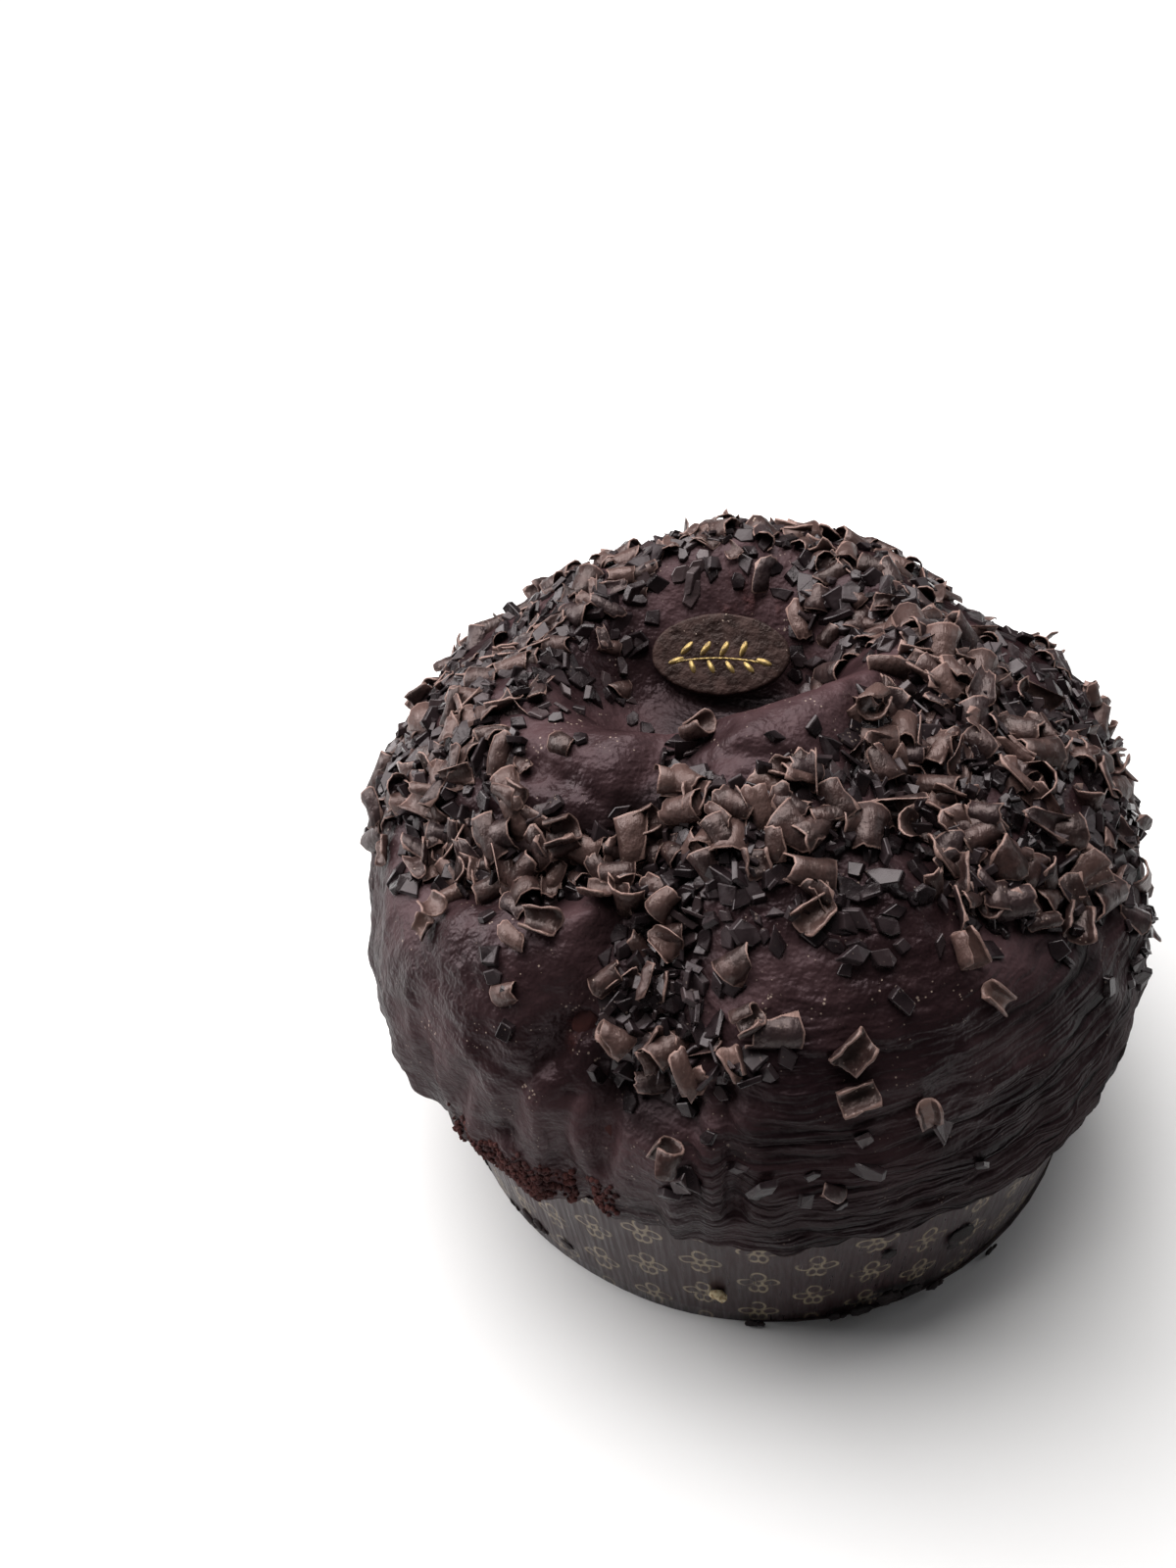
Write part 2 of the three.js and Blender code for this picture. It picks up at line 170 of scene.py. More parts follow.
def setBump(tree, shader, height, strength, distance):
    inputs = {"Height": height, "Strength": strength, "Distance": distance}
    tree.links.new(addNode(tree, "ShaderNodeBump", None, inputs).outputs[0], shader.inputs["Normal"])


# helpers for the pieces
def finishPiece(name, bm, material, stands=(), smooth=True):
    mesh = bpy.data.meshes.new(name)
    bm.to_mesh(mesh)
    bm.free()
    mesh.polygons.foreach_set("use_smooth", [smooth] * len(mesh.polygons))
    mesh.materials.append(material)
    piece = bpy.data.objects.new(name, mesh)
    bpy.context.scene.collection.objects.link(piece)
    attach(piece, "root")
    for node in stands:
        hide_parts(node)
    return piece


def mergedCopy(node):
    bm = bmesh.new()
    bm.from_mesh(nodes[node].data)
    bmesh.ops.remove_doubles(bm, verts=bm.verts, dist=1e-5)
    return bm


def withLayers(bm):  # how torn each rim is, and each bit's own tint
    for name in ("torn", "tint"):
        bm.verts.layers.float.new(name)
    return bm


def joinInto(bm, part):
    mesh = bpy.data.meshes.new("part")
    part.to_mesh(mesh)
    part.free()
    bm.from_mesh(mesh)
    bpy.data.meshes.remove(mesh)


def clamped(value):
    return min(max(value, 0), 1)


def bell(off, width, power=2):
    return math.exp(-((abs(off) / width) ** power))


def spinRound(bm, steps):
    bmesh.ops.spin(
        bm, geom=bm.verts[:] + bm.edges[:], cent=(0, 0, 0), axis=(0, 0, 1), dvec=(0, 0, 0),
        angle=2 * math.pi, steps=steps, use_merge=True,
    )


def soften(bm, edges, size, segments=1):
    bmesh.ops.bevel(
        bm, geom=edges, offset=size * mm, segments=segments, profile=0.5, affect="EDGES", material=-1
    )


# the crown's shape, shared by the glaze and everything laid on it
crown = {
    "radius": 112.6,
    "widestZ": 71.0,
    "topZ": 160.0,
    "squareness": 2.25,
    "shift": (-2.5, 4.0),
    # folds: start, end (azimuth, height angle in degrees), depth mm, half width degrees, edge
    "folds": [
        ((172, 78), (60, 86), 30, 11.6, 3.2),
        ((50, 85), (31, 72), 11, 5, 2.6),
        ((243, 75), (249, 58), 8, 5, 2.6),
        ((249, 58), (256, 45), 11, 7, 2.6),
        ((256, 42), (256, 25), 11.5, 9, 2.6),
        ((259, 25), (267, 25), 3, 4, 2.6),
        ((245, 33), (246, 22), 3.5, 3.5, 2.6),
        ((247, 59), (232, 49), 10, 6, 2.6),
        ((230, 48), (206, 37), 7, 6.5, 2.6),
        ((334, 73), (312, 56), 5, 6, 2.6),
        ((311, 55), (308, 44), 4, 6.5, 2.6),
        ((309, 42), (330, 30), 3, 6, 2.6),
        ((104, 46), (94, 20), 5.5, 8, 2.6),
        ((28, 60), (44, 30), 5, 8, 2.6),
        ((162, 66), (158, 52), 5, 8, 2.6),
    ],
    "swells": [
        # centre, height mm, width degrees
        ((228, 22), 4.5, 20), ((284, 36), 4, 24), ((340, 80), 8, 7), ((305, 78), 5, 6), ((268, 74), 5, 7),
        ((232, 68), 3, 9), ((190, 62), 3, 15), ((135, 62), 4, 16), ((60, 62), 4.5, 18), ((98, 64), 5, 9),
        ((5, 40), -2, 18), ((212, 4), 2.5, 16), ((190, 16), -1, 14), ((358, 14), -5.5, 16),
        ((170, 20), 2.5, 20), ((146, 28), 2, 14), ((100, 20), 2, 18),
    ],
    # narrow creases where the coat ran together; the same columns as folds
    "creases": [
        ((246.5, 50), (246.5, 30), 3.4, 1.6, 2),
        ((246, 30), (243, 22), 4.6, 1.8, 2),
        ((267.5, 27), (268.5, 4), 3.0, 1.4, 2),
        ((264, 24), (263, 8), 2.2, 1.4, 2),
        ((253, 22), (251, 6), 3.2, 1.7, 2),
        ((247, 18), (246, 4), 2.4, 1.4, 2),
        ((241, 19), (238, 6), 3.0, 1.7, 2),
        ((233, 16), (230, 5), 2.4, 1.6, 2),
        ((226, 14), (222, 4), 2.0, 1.8, 2),
        ((225, 40), (214, 36), 2.0, 1.7, 2),
        ((236, 62), (214, 60), 1.8, 1.6, 2),
        ((222, 60), (206, 56), 1.6, 1.8, 2),
        ((300, 70), (330, 76), 1.4, 1.2, 2),
        ((250, 71), (284, 70), 1.2, 1.2, 2),
        ((200, 70), (176, 66), 1.5, 1.4, 2),
    ],
}


def direction(azimuth, rise):
    a, t = np.radians(azimuth), np.radians(rise)
    return np.stack([np.cos(t) * np.cos(a), np.cos(t) * np.sin(a), np.sin(t) + 0 * a], -1)


def arcAway(d, start, end):
    first, last = direction(*start), direction(*end)
    along = last - first
    length = max(float(along @ along), 1e-9)
    share = np.clip((d - first) @ along / length, 0, 1)
    nearest = first + share[:, None] * along
    nearest /= np.linalg.norm(nearest, axis=1)[:, None]
    return np.degrees(np.arccos(np.clip((d * nearest).sum(1), -1, 1)))


def crownRelief(d):
    cut = np.zeros(len(d))
    for start, end, depth, width, edge in crown["folds"]:
        cut += (depth * np.exp(-(arcAway(d, start, end) / width) ** edge)) ** 3
    out = -np.cbrt(cut)
    for at, height, width in crown["swells"]:
        out += height * np.exp(-(arcAway(d, at, at) / width) ** 2)
    for start, end, depth, width, edge in crown["creases"]:
        out -= depth * np.exp(-(arcAway(d, start, end) / width) ** edge)
    x, y, z = d.T
    out += 1.1 * np.sin(7 * x + 3 * z + 1) * np.cos(6 * y - 2 * z) + 0.6 * np.sin(13 * x - 9 * y + 5 * z)
    return out


def crownPoints(azimuth, rise, inset):
    d = direction(azimuth, rise)
    t = np.radians(rise)
    level = crown["topZ"] - crown["widestZ"]
    reach = crown["radius"] * np.maximum(np.cos(t), 0) ** (2 / crown["squareness"])
    height = level * np.sin(t) ** (2 / crown["squareness"])
    normal = d / np.array([crown["radius"], crown["radius"], level])
    normal /= np.linalg.norm(normal, axis=1)[:, None]
    push = (crownRelief(d) - inset)[:, None] * normal
    a = np.radians(azimuth)
    flat = np.stack([crown["shift"][0] + reach * np.cos(a), crown["shift"][1] + reach * np.sin(a)], -1)
    return np.concatenate([flat, (crown["widestZ"] + height)[:, None]], 1) + push


glazeCoat = {
    "steps": 440,  # round the crown
    "crownRows": 150,
    "skirtRows": 22,
    "insideRows": 5,
    "hiddenRows": 16,
    "thickness": 2.6,
    "edgeHeight": 60.6,
    "edgeWave": 1.6,
    "edgeReach": 2.5,
    "lumps": 1.25,  # mm
    "ripples": 1.7,
    "runs": 2.8,
    "brushedMiddle": 305,  # azimuth of the brushed side
    "cleftAt": (245.0, 113),  # azimuth and height of the two places where crumb shows
    "bandAt": (239, 72),
    "dark": (0.0135, 0.0066, 0.0074),
    "pale": (0.0460, 0.0245, 0.0265),
    # painted shade: the coat's colour in the folds and the crater, where shade falls
    "shadeInFolds": (0.0035, 0.0020, 0.0022),
    # darker coat low on the brushed side: partly the brushed coat, partly painted shade low on the front
    "brushedAndShaded": (0.0078, 0.0040, 0.0050),
    # painted shade: the coat's colour in the brush grooves
    "shadeInGrooves": (0.0026, 0.0014, 0.0018),
    "crumbDark": (0.030, 0.0092, 0.0096),
    "crumbPale": (0.080, 0.027, 0.024),
}


def edgeLine(azimuth):
    a = np.radians(azimuth)
    wave = np.sin(8 * a - 2.62) + 0.8 * np.sin(3 * a - 0.785) + 0.3 * np.sin(23 * a + 1)
    return glazeCoat["edgeHeight"] + glazeCoat["edgeWave"] * wave


mouldWall = {"baseRadius": 100.0, "rimRadius": 103.6, "height": 64.0}


def wallRadius(z):
    flare = mouldWall["rimRadius"] - mouldWall["baseRadius"]
    return mouldWall["baseRadius"] + flare * z / mouldWall["height"]


def skirtPoints(azimuth, share, inset, reach, rise):
    a = np.radians(azimuth)
    widest = crownPoints(azimuth, np.zeros(len(azimuth)), inset)
    edgeZ = edgeLine(azimuth) + rise
    edgeR = wallRadius(edgeLine(azimuth)) + 0.4 + reach
    turn = share * math.pi / 2
    full = np.maximum(np.cos(turn), 0) ** 0.75
    x = edgeR * np.cos(a) + (widest[:, 0] - edgeR * np.cos(a)) * full
    y = edgeR * np.sin(a) + (widest[:, 1] - edgeR * np.sin(a)) * full
    z = widest[:, 2] + (edgeZ - widest[:, 2]) * np.sin(turn)
    return np.stack([x, y, z], -1)


def buildGlaze():
    spec = glazeCoat
    outer = [90 * (1 - (k / spec["crownRows"]) ** 0.97) for k in range(spec["crownRows"] + 1)]
    inner = [90 * k / spec["hiddenRows"] for k in range(spec["hiddenRows"] + 1)]
    rows = [("crown", t) for t in outer]
    rows += [("skirt", (k + 1) / spec["skirtRows"]) for k in range(spec["skirtRows"])]
    rows += [("inside", 1 - k / spec["insideRows"]) for k in range(spec["insideRows"])]
    rows += [("under", t) for t in inner]
    bm = bmesh.new()
    rowLayer = bm.verts.layers.float.new("row")
    previous = None
    for k, (kind, value) in enumerate(rows):
        bend = math.radians(value) if kind in ("crown", "under") else -value * math.pi / 3
        size = 1.0 if kind in ("crown", "skirt") else 0.97
        vert = bm.verts.new((size * abs(math.cos(bend)) if value < 90 else 0, 0, size * math.sin(bend)))
        vert[rowLayer] = k
        if previous:
            bm.edges.new((previous, vert))
        previous = vert
    spinRound(bm, spec["steps"])
    poles = [v for v in bm.verts if v[rowLayer] in (0, len(rows) - 1)]
    bmesh.ops.remove_doubles(bm, verts=poles, dist=1e-5)
    bmesh.ops.recalc_face_normals(bm, faces=bm.faces)

    # the plain spun shell is pulled onto the crown's real shape
    verts = list(bm.verts)
    at = np.array([v[rowLayer] for v in verts]).round().astype(int)
    azimuth = np.degrees(np.arctan2([v.co.y for v in verts], [v.co.x for v in verts]))
    kinds = np.array([kind for kind, value in rows])[at]
    values = np.array([value for kind, value in rows])[at]
    points = np.zeros((len(verts), 3))
    for kind, inset in (("crown", 0.0), ("under", spec["thickness"])):
        pick = kinds == kind
        points[pick] = crownPoints(azimuth[pick], values[pick], inset)
    for kind, inset, reach, rise in (
        ("skirt", 0.0, spec["edgeReach"], 0.0), ("inside", spec["thickness"], 0.0, 1.0),
    ):
        pick = kinds == kind
        points[pick] = skirtPoints(azimuth[pick], values[pick], inset, reach, rise)
    for v, p in zip(verts, points):
        v.co = Vector(p) * mm
    bmesh.ops.recalc_face_normals(bm, faces=bm.faces)
    bm.normal_update()

    # lumps, brushed ripples and runs stand on the outside only
    outside = [v for v, kind in zip(verts, kinds) if kind in ("crown", "skirt")]
    moves = []
    for v in outside:
        p = v.co / mm
        low = clamped((120 - p.z) / 40)
        front = bell(math.degrees(math.atan2(p.y, p.x)) % 360 - spec["brushedMiddle"], 48, 4)
        crater = bell(Vector((p.x + 12, p.y - 12)).length, 34, 4)
        lump = noise.noise(p / 15) * spec["lumps"] + noise.noise(p / 6.5 + Vector((9, 2, 5))) * 0.5
        lump += noise.noise(p / 2.6) * 0.22
        brush = clamped((144 - p.z) / 28) * (0.2 + front)
        level = p.z + 3.5 * noise.noise(p / 26) + 0.10 * (p.x - p.y)
        ripple = abs(noise.noise(Vector((p.x / 17, p.y / 17, level / 4.4)))) * spec["ripples"] * brush
        run = noise.noise(Vector((p.x / 6.5, p.y / 6.5, p.z / 30))) * spec["runs"] * low * (1.3 - front)
        moves.append(v.normal * ((lump + ripple + run) * (1 - 0.45 * crater)) * mm)
    for v, move in zip(outside, moves):
        v.co += move
    bm.normal_update()
    return bm


def markGlaze(bm):
    bare = bm.verts.layers.float.new("bareCrumb")
    brushedAndShaded = bm.verts.layers.float.new("brushedAndShaded")
    foldShade = bm.verts.layers.float.new("foldShade")
    shift = np.array([*crown["shift"], crown["widestZ"] - 12])
    seen = np.array([v.co for v in bm.verts]) / mm - shift
    seen /= np.linalg.norm(seen, axis=1)[:, None]
    # painted shade: how deep each fold cuts sets how much shade is painted into the coat there
    depth = np.zeros(len(seen))
    for start, end, cut, width, edge in crown["folds"]:
        depth += (min(cut, 12) / 12 * np.exp(-(arcAway(seen, start, end) / width) ** 2)) ** 2
    for v, deep in zip(bm.verts, np.sqrt(depth)):
        v[foldShade] = min(deep, 1.0)
        p = v.co / mm
        azimuth = math.degrees(math.atan2(p.y - crown["shift"][1], p.x - crown["shift"][0])) % 360
        ragged = noise.noise(p / 4) * 0.5 + noise.noise(p / 1.6) * 0.5
        cleft = bell(azimuth - glazeCoat["cleftAt"][0], 0.8) * bell(p.z - glazeCoat["cleftAt"][1], 5.5) * 1.3
        band = bell(azimuth - glazeCoat["bandAt"][0], 13, 4) * bell(p.z - glazeCoat["bandAt"][1], 7.5) * 0.95
        behind = bell(p.x + 4, 11) * bell(p.y - 38, 4.5) * 0.9 if p.z > 120 else 0  # above the plaque
        v[bare] = clamped(cleft + band + behind + ragged - 0.55)
        # the brushed side low down: real brush marks, and the same mask also paints the coat darker there as
        # shade
        side = max(bell(azimuth - glazeCoat["brushedMiddle"], 42, 4), 0.06)
        v[brushedAndShaded] = side * clamped((137 - p.z) / 20) * clamped(0.95 + noise.noise(p / 20))


def glazeMaterial():
    material, tree, shader = newMaterial("darkGlaze", 0.42, 0.14, (1.0, 0.74, 0.80))
    place = objectPlace(tree)
    chocolate = chocolateNode(tree, glazeCoat["dark"], glazeCoat["pale"], 0.75, 34.0)
    bare = attributeOf(tree, "bareCrumb")
    brushedAndShaded = attributeOf(tree, "brushedAndShaded")
    grain = noiseAt(tree, place, 700.0, 3.0)
    crumb = mixColour(tree, spread(tree, grain, 0.35, 0.65), glazeCoat["crumbDark"], glazeCoat["crumbPale"])
    # painted shade: the coat darkens in the folds and the crater
    deep = spread(tree, attributeOf(tree, "foldShade"), 0.40, 0.95, 0.0, 0.85)
    coat = mixColour(tree, deep, chocolate["Color"], glazeCoat["shadeInFolds"])
    # painted shade together with the brushed coat: the colour darkens low on the brushed front side
    thin = spread(tree, brushedAndShaded, 0.15, 0.85, 0.0, 0.62)
    coat = mixColour(tree, thin, coat, glazeCoat["brushedAndShaded"])
    streaks = noiseAt(tree, stretched(tree, place, (32, 32, 330), (0.12, 0.18, 0)), 1.0, 2.0)
    # painted shade: the brush streaks' grooves are darkened in colour as well as bumped
    grooveShade = times(tree, spread(tree, streaks, 0.38, 0.49, 0.95, 0.0), brushedAndShaded)
    coat = mixColour(tree, grooveShade, coat, glazeCoat["shadeInGrooves"])
    tree.links.new(mixColour(tree, bare, coat, crumb), shader.inputs["Base Color"])
    grazing = addNode(tree, "ShaderNodeLayerWeight", None, {"Blend": 0.5}).outputs["Facing"]
    sheen = spread(tree, brushedAndShaded, 0.1, 0.9, 0.17, 0.08)
    sheen = times(tree, sheen, spread(tree, grazing, 0.40, 0.85, 1.0, 0.12))
    tree.links.new(sheen, shader.inputs["Specular IOR Level"])
    sweep = noiseAt(tree, stretched(tree, place, (190, 190, 44)), 1.0, 2.0)
    wrinkles = noiseAt(tree, place, 150.0, 3.0, 0.6)
    height = times(tree, streaks, plus(tree, times(tree, brushedAndShaded, 3.0), 0.05))
    height = plus(tree, height, times(tree, sweep, 0.14))
    height = plus(tree, height, wrinkles)
    height = plus(tree, height, times(tree, chocolate["Height"], 0.22))
    height = plus(tree, height, times(tree, times(tree, grain, bare), 1.4))
    setBump(tree, shader, height, 0.85, 0.0018)
    rough = spread(tree, chocolate["Cloud"], 0.0, 1.0, 0.34, 0.50)
    rough = plus(tree, rough, times(tree, brushedAndShaded, 0.10))
    rough = plus(tree, rough, times(tree, bare, 0.45), True)
    tree.links.new(rough, shader.inputs["Roughness"])
    return material


glazeBm = buildGlaze()
markGlaze(glazeBm)
glazeTree = BVHTree.FromBMesh(glazeBm)
glaze = finishPiece("glazeCoat", glazeBm, glazeMaterial(), ["glaze"])
print("glaze coated:", len(glaze.data.polygons), "faces")


# the topping: curls and chips
curlCut = {
    "radius": 3.9,
    "width": 9.2,
    "sheet": 0.42,
    "turns": (70, 250),
    "masters": 16,
    "dark": (0.0120, 0.0062, 0.0058),
    "pale": (0.036, 0.0190, 0.0170),
    "light": (0.070, 0.0400, 0.0345),
    "torn": (0.27, 0.172, 0.147),
}
chipCut = {
    "length": (5.8, 10.6),
    "width": (0.5, 0.9),  # share of the length
    "thick": (0.8, 2.2),
    "softEdge": 0.2,
    "masters": 18,
    "dark": (0.0056, 0.0036, 0.0041),
    "pale": (0.0185, 0.0118, 0.0132),
    "light": (0.050, 0.034, 0.035),
}


def curlMaterial():
    material, tree, shader = newMaterial("shavedChocolate", 0.48, 0.40, (1.0, 0.80, 0.76))
    chocolate = chocolateNode(tree, curlCut["dark"], curlCut["pale"], 0.7, 210.0)
    tint = attributeOf(tree, "tint")
    torn = spread(tree, attributeOf(tree, "torn"), 0.84, 1.0, 0.0, 0.7)
    shade = mixColour(tree, spread(tree, tint, 0.45, 1.0, 0.0, 0.9), chocolate["Color"], curlCut["light"])
    deep = mixColour(tree, spread(tree, tint, 0.0, 0.35, 0.8, 0.0), shade, chipCut["pale"])
    tree.links.new(mixColour(tree, torn, deep, curlCut["torn"]), shader.inputs["Base Color"])
    shaving = noiseAt(tree, stretched(tree, objectPlace(tree), (900, 260, 500), (0.4, 0.7, 0.2)), 1.0, 2.0)
    height = plus(tree, times(tree, shaving, 0.6), chocolate["Height"])
    setBump(tree, shader, height, 0.7, 0.0007)
    tree.links.new(spread(tree, shaving, 0.3, 0.7, 0.33, 0.52), shader.inputs["Roughness"])
    return material


def chipMaterial():
    material, tree, shader = newMaterial("brokenChocolate", 0.3, 0.30, (1.0, 0.90, 0.92))
    chocolate = chocolateNode(tree, chipCut["dark"], chipCut["pale"], 0.25, 110.0)
    tint = attributeOf(tree, "tint")
    shade = mixColour(tree, spread(tree, tint, 0.80, 1.0, 0.0, 0.7), chocolate["Color"], chipCut["light"])
    tree.links.new(shade, shader.inputs["Base Color"])
    setBump(tree, shader, chocolate["Height"], 0.45, 0.0004)
    tree.links.new(spread(tree, chocolate["Cloud"], 0.0, 1.0, 0.20, 0.42), shader.inputs["Roughness"])
    return material


def rollCurl(seed):
    rng = random.Random(seed)
    bm = withLayers(bmesh.new())
    torn = bm.verts.layers.float["torn"]
    bmesh.ops.create_grid(bm, x_segments=3, y_segments=7, size=0.5)
    turn = math.radians(rng.uniform(*curlCut["turns"]))
    radius = curlCut["radius"] * rng.uniform(0.75, 1.15)
    cone = rng.uniform(-0.45, 0.45)
    skew = rng.uniform(-0.5, 0.5)
    tighten = rng.uniform(0.1, 0.45)
    width = curlCut["width"] * rng.uniform(0.75, 1.2)
    side = rng.choice((-1, 1, 1))  # a cup or a roof
    start = side * math.pi / 2 - turn * rng.uniform(0.35, 0.65)
    notch = rng.uniform(-0.1, 0.45)
    slant = rng.uniform(-0.6, 0.6)
    flare = rng.uniform(0.0, 0.5)
    for v in bm.verts:
        u, w = v.co.y + 0.5, v.co.x
        v[torn] = 1.0 if v.is_boundary else 0.0
        ragged = rng.uniform(-0.07, 0.07) if v.is_boundary else 0.0
        angle = start + turn * (u + ragged + skew * w * (u - 0.5))
        r = radius * (1 + cone * w) * (1 - tighten * u) * (1 + flare * (2 * w) ** 2 * (u - 0.3))
        reach = width * (w + ragged + slant * (u - 0.5) * 0.35) * (1 - notch * (2 * u - 1) ** 2)
        v.co = Vector((reach, r * math.cos(angle), r * math.sin(angle) - side * radius * 0.6)) * mm
    bmesh.ops.solidify(bm, geom=bm.faces[:], thickness=curlCut["sheet"] * mm)
    bmesh.ops.recalc_face_normals(bm, faces=bm.faces)
    return bm


def breakChip(seed):
    rng = random.Random(seed)
    bm = withLayers(bmesh.new())
    corners = rng.choice((3, 4, 4, 4, 5, 5, 6))
    bmesh.ops.create_circle(bm, cap_ends=True, segments=corners, radius=0.5)
    length = rng.uniform(*chipCut["length"]) * mm
    narrow = rng.uniform(*chipCut["width"])
    thick = rng.uniform(*chipCut["thick"]) * mm
    for v in bm.verts:
        jag = rng.uniform(0.65, 1.25)
        v.co = Vector((v.co.x * jag, v.co.y * jag * narrow * rng.uniform(0.7, 1.2), 0)) * length
    slab = bmesh.ops.extrude_face_region(bm, geom=bm.faces[:])
    top = [g for g in slab["geom"] if isinstance(g, bmesh.types.BMVert)]
    for v in top:
        v.co = Vector((v.co.x * 0.86, v.co.y * 0.86, thick * rng.uniform(0.75, 1.15)))
    soften(bm, bm.edges[:], chipCut["softEdge"])
    bmesh.ops.triangulate(bm, faces=[f for f in bm.faces if len(f.verts) > 4])
    bmesh.ops.translate(bm, verts=bm.verts, vec=(0, 0, -thick / 2))
    bmesh.ops.recalc_face_normals(bm, faces=bm.faces)
    return bm


# where the topping fell: a stretch of the crown from one place to another (azimuth, height angle), its half
# width in degrees, then how many curls and chips lie along it
strewn = [
    ((249, 60), (230, 50), 5.0, 20, 34),  # left valley
    ((230, 50), (206, 37), 6.0, 34, 50),
    ((206, 40), (190, 40), 7.0, 16, 40),
    ((249, 58), (256, 46), 4.5, 8, 34),  # front valley
    ((256, 44), (256, 24), 5.5, 7, 92),
    ((262, 30), (272, 30), 4.0, 4, 16),
    ((243, 75), (250, 64), 4.0, 6, 14),
    ((264, 66), (290, 66), 6.0, 18, 54),  # above the front lobe
    ((262, 57), (298, 60), 6.5, 12, 70),
    ((266, 48), (300, 50), 6.5, 2, 34),
    ((318, 73), (314, 58), 8.0, 22, 48),  # right valley
    ((312, 54), (310, 42), 6.0, 16, 36),
    ((312, 42), (332, 32), 6.0, 14, 34),
    ((352, 70), (336, 52), 9.0, 32, 80),
    ((335, 60), (324, 46), 8.0, 12, 50),
    ((350, 50), (346, 28), 9.0, 20, 90),
    ((150, 58), (178, 50), 7.0, 18, 50),
    ((20, 72), (4, 56), 9.0, 24, 80),  # round the right and back
    ((20, 46), (12, 22), 12.0, 18, 70),
    ((30, 70), (70, 66), 8.0, 26, 60),
    ((84, 66), (130, 66), 8.0, 24, 70),
    ((140, 64), (176, 60), 9.0, 20, 74),
    ((186, 58), (204, 52), 8.0, 22, 60),
    ((176, 44), (186, 24), 9.0, 12, 60),
    ((50, 50), (130, 50), 14.0, 44, 150),
    ((40, 26), (150, 26), 12.0, 20, 110),
    ((148, 50), (160, 24), 10.0, 14, 60),
    ((255, 14), (300, 16), 8.0, 1, 13),  # a few strays low at the front
    ((215, 26), (235, 30), 7.0, 1, 5),
    ((330, 18), (350, 8), 9.0, 3, 22),
]
# places that stayed bare: centre and half width in degrees
bareSpots = [
    ((195, 76), 6.5), ((232, 67), 5.0), ((268, 74), 5.0), ((335, 80), 6.0), ((300, 79), 4.0),
    ((225, 22), 13), ((290, 34), 9), ((300, 20), 12), ((120, 86), 10), ((160, 80), 8),
]
topping = {
    "closest": 5.0,  # mm between curls
    "chipClosest": 2.9,
    "curlSizes": (0.7, 1.2),
    "chipSizes": (0.6, 1.1),
    "overlap": 0.62,
    "lift": 0.40,  # share of a curl's radius
    "chipLift": 0.5,  # mm
    "farSide": (15, 180),  # azimuths where the topping lies flatter
    "farCalm": 0.65,
    "strayShare": 0.04,  # how much may fall on a bare place
    "plaqueClear": 20,  # mm
    "tries": 4000,
    "box": 0.1165,  # m, the furthest any of it reaches
    "seed": 11,
}


def towards(azimuth, rise):
    a, t = math.radians(azimuth), math.radians(rise)
    return Vector((math.cos(t) * math.cos(a), math.cos(t) * math.sin(a), math.sin(t)))


def isBare(azimuth, rise):
    here = towards(azimuth, rise)
    return any(math.degrees(here.angle(towards(*at), 0)) < size for at, size in bareSpots)


def landingPlace(azimuth, rise):
    away = towards(azimuth, rise)
    a, t, power = math.radians(azimuth), math.radians(rise), 2 / crown["squareness"]
    reach = crown["radius"] * math.cos(t) ** power
    level = (crown["topZ"] - crown["widestZ"]) * math.sin(t) ** power
    guess = Vector((reach * math.cos(a), reach * math.sin(a), crown["widestZ"] + level))
    guess = (guess + Vector((*crown["shift"], 0))) * mm
    return glazeTree.ray_cast(guess + away * 0.03, -away)[:2]


def along(rng, stretch):
    first, last, width = stretch[:3]
    share = rng.random()
    rise = first[1] + (last[1] - first[1]) * share + rng.gauss(0, width * 0.55)
    rise = min(max(rise, 6), 86)
    sideways = rng.gauss(0, width * 0.55) / max(math.cos(math.radians(rise)), 0.15)
    return first[0] + (last[0] - first[0]) * share + sideways, rise


def faceUp(normal, spin, tilt, lean):
    turn = normal.to_track_quat("Z", "Y").to_matrix().to_4x4() @ Matrix.Rotation(spin, 4, "Z")
    return turn @ Matrix.Rotation(tilt, 4, "X") @ Matrix.Rotation(lean, 4, "Y")


def loadMasters(make, count, seed):
    masters = []
    for k in range(count):
        bm = make(seed + 17 * k)
        mesh = bpy.data.meshes.new("master")
        bm.to_mesh(mesh)
        bm.free()
        masters.append(mesh)
    return masters


def addCopy(bm, master, matrix, tint):
    before = len(bm.verts)
    bm.from_mesh(master)
    bm.verts.ensure_lookup_table()
    layer = bm.verts.layers.float["tint"]
    for v in bm.verts[before:]:
        v.co = matrix @ v.co
        v[layer] = tint


# the curls of the frame keep their places, and get torn rims and a finer sheet
def refineCurl(node, tint, seed):
    bm = withLayers(mergedCopy(node))
    torn, tintLayer = bm.verts.layers.float["torn"], bm.verts.layers.float["tint"]
    bmesh.ops.join_triangles(bm, faces=bm.faces[:], angle_face_threshold=0.7, angle_shape_threshold=1.2)
    rim = [f for f in bm.faces if min(e.calc_length() for e in f.edges) < 0.95 * mm]
    for f in rim:
        for v in f.verts:
            v[torn] = 0.93
    bmesh.ops.subdivide_edges(bm, edges=bm.edges[:], cuts=1, smooth=0.3, use_grid_fill=True)
    bmesh.ops.recalc_face_normals(bm, faces=bm.faces)
    bm.normal_update()
    for v in bm.verts:
        v[tintLayer] = tint
        p = v.co / mm + Vector((seed, 0, 0))
        v.co += Vector(noise.noise_vector(p / 2.4)) * 0.5 * mm - v.normal * 0.09 * mm
    bmesh.ops.recalc_face_normals(bm, faces=bm.faces)
    return bm


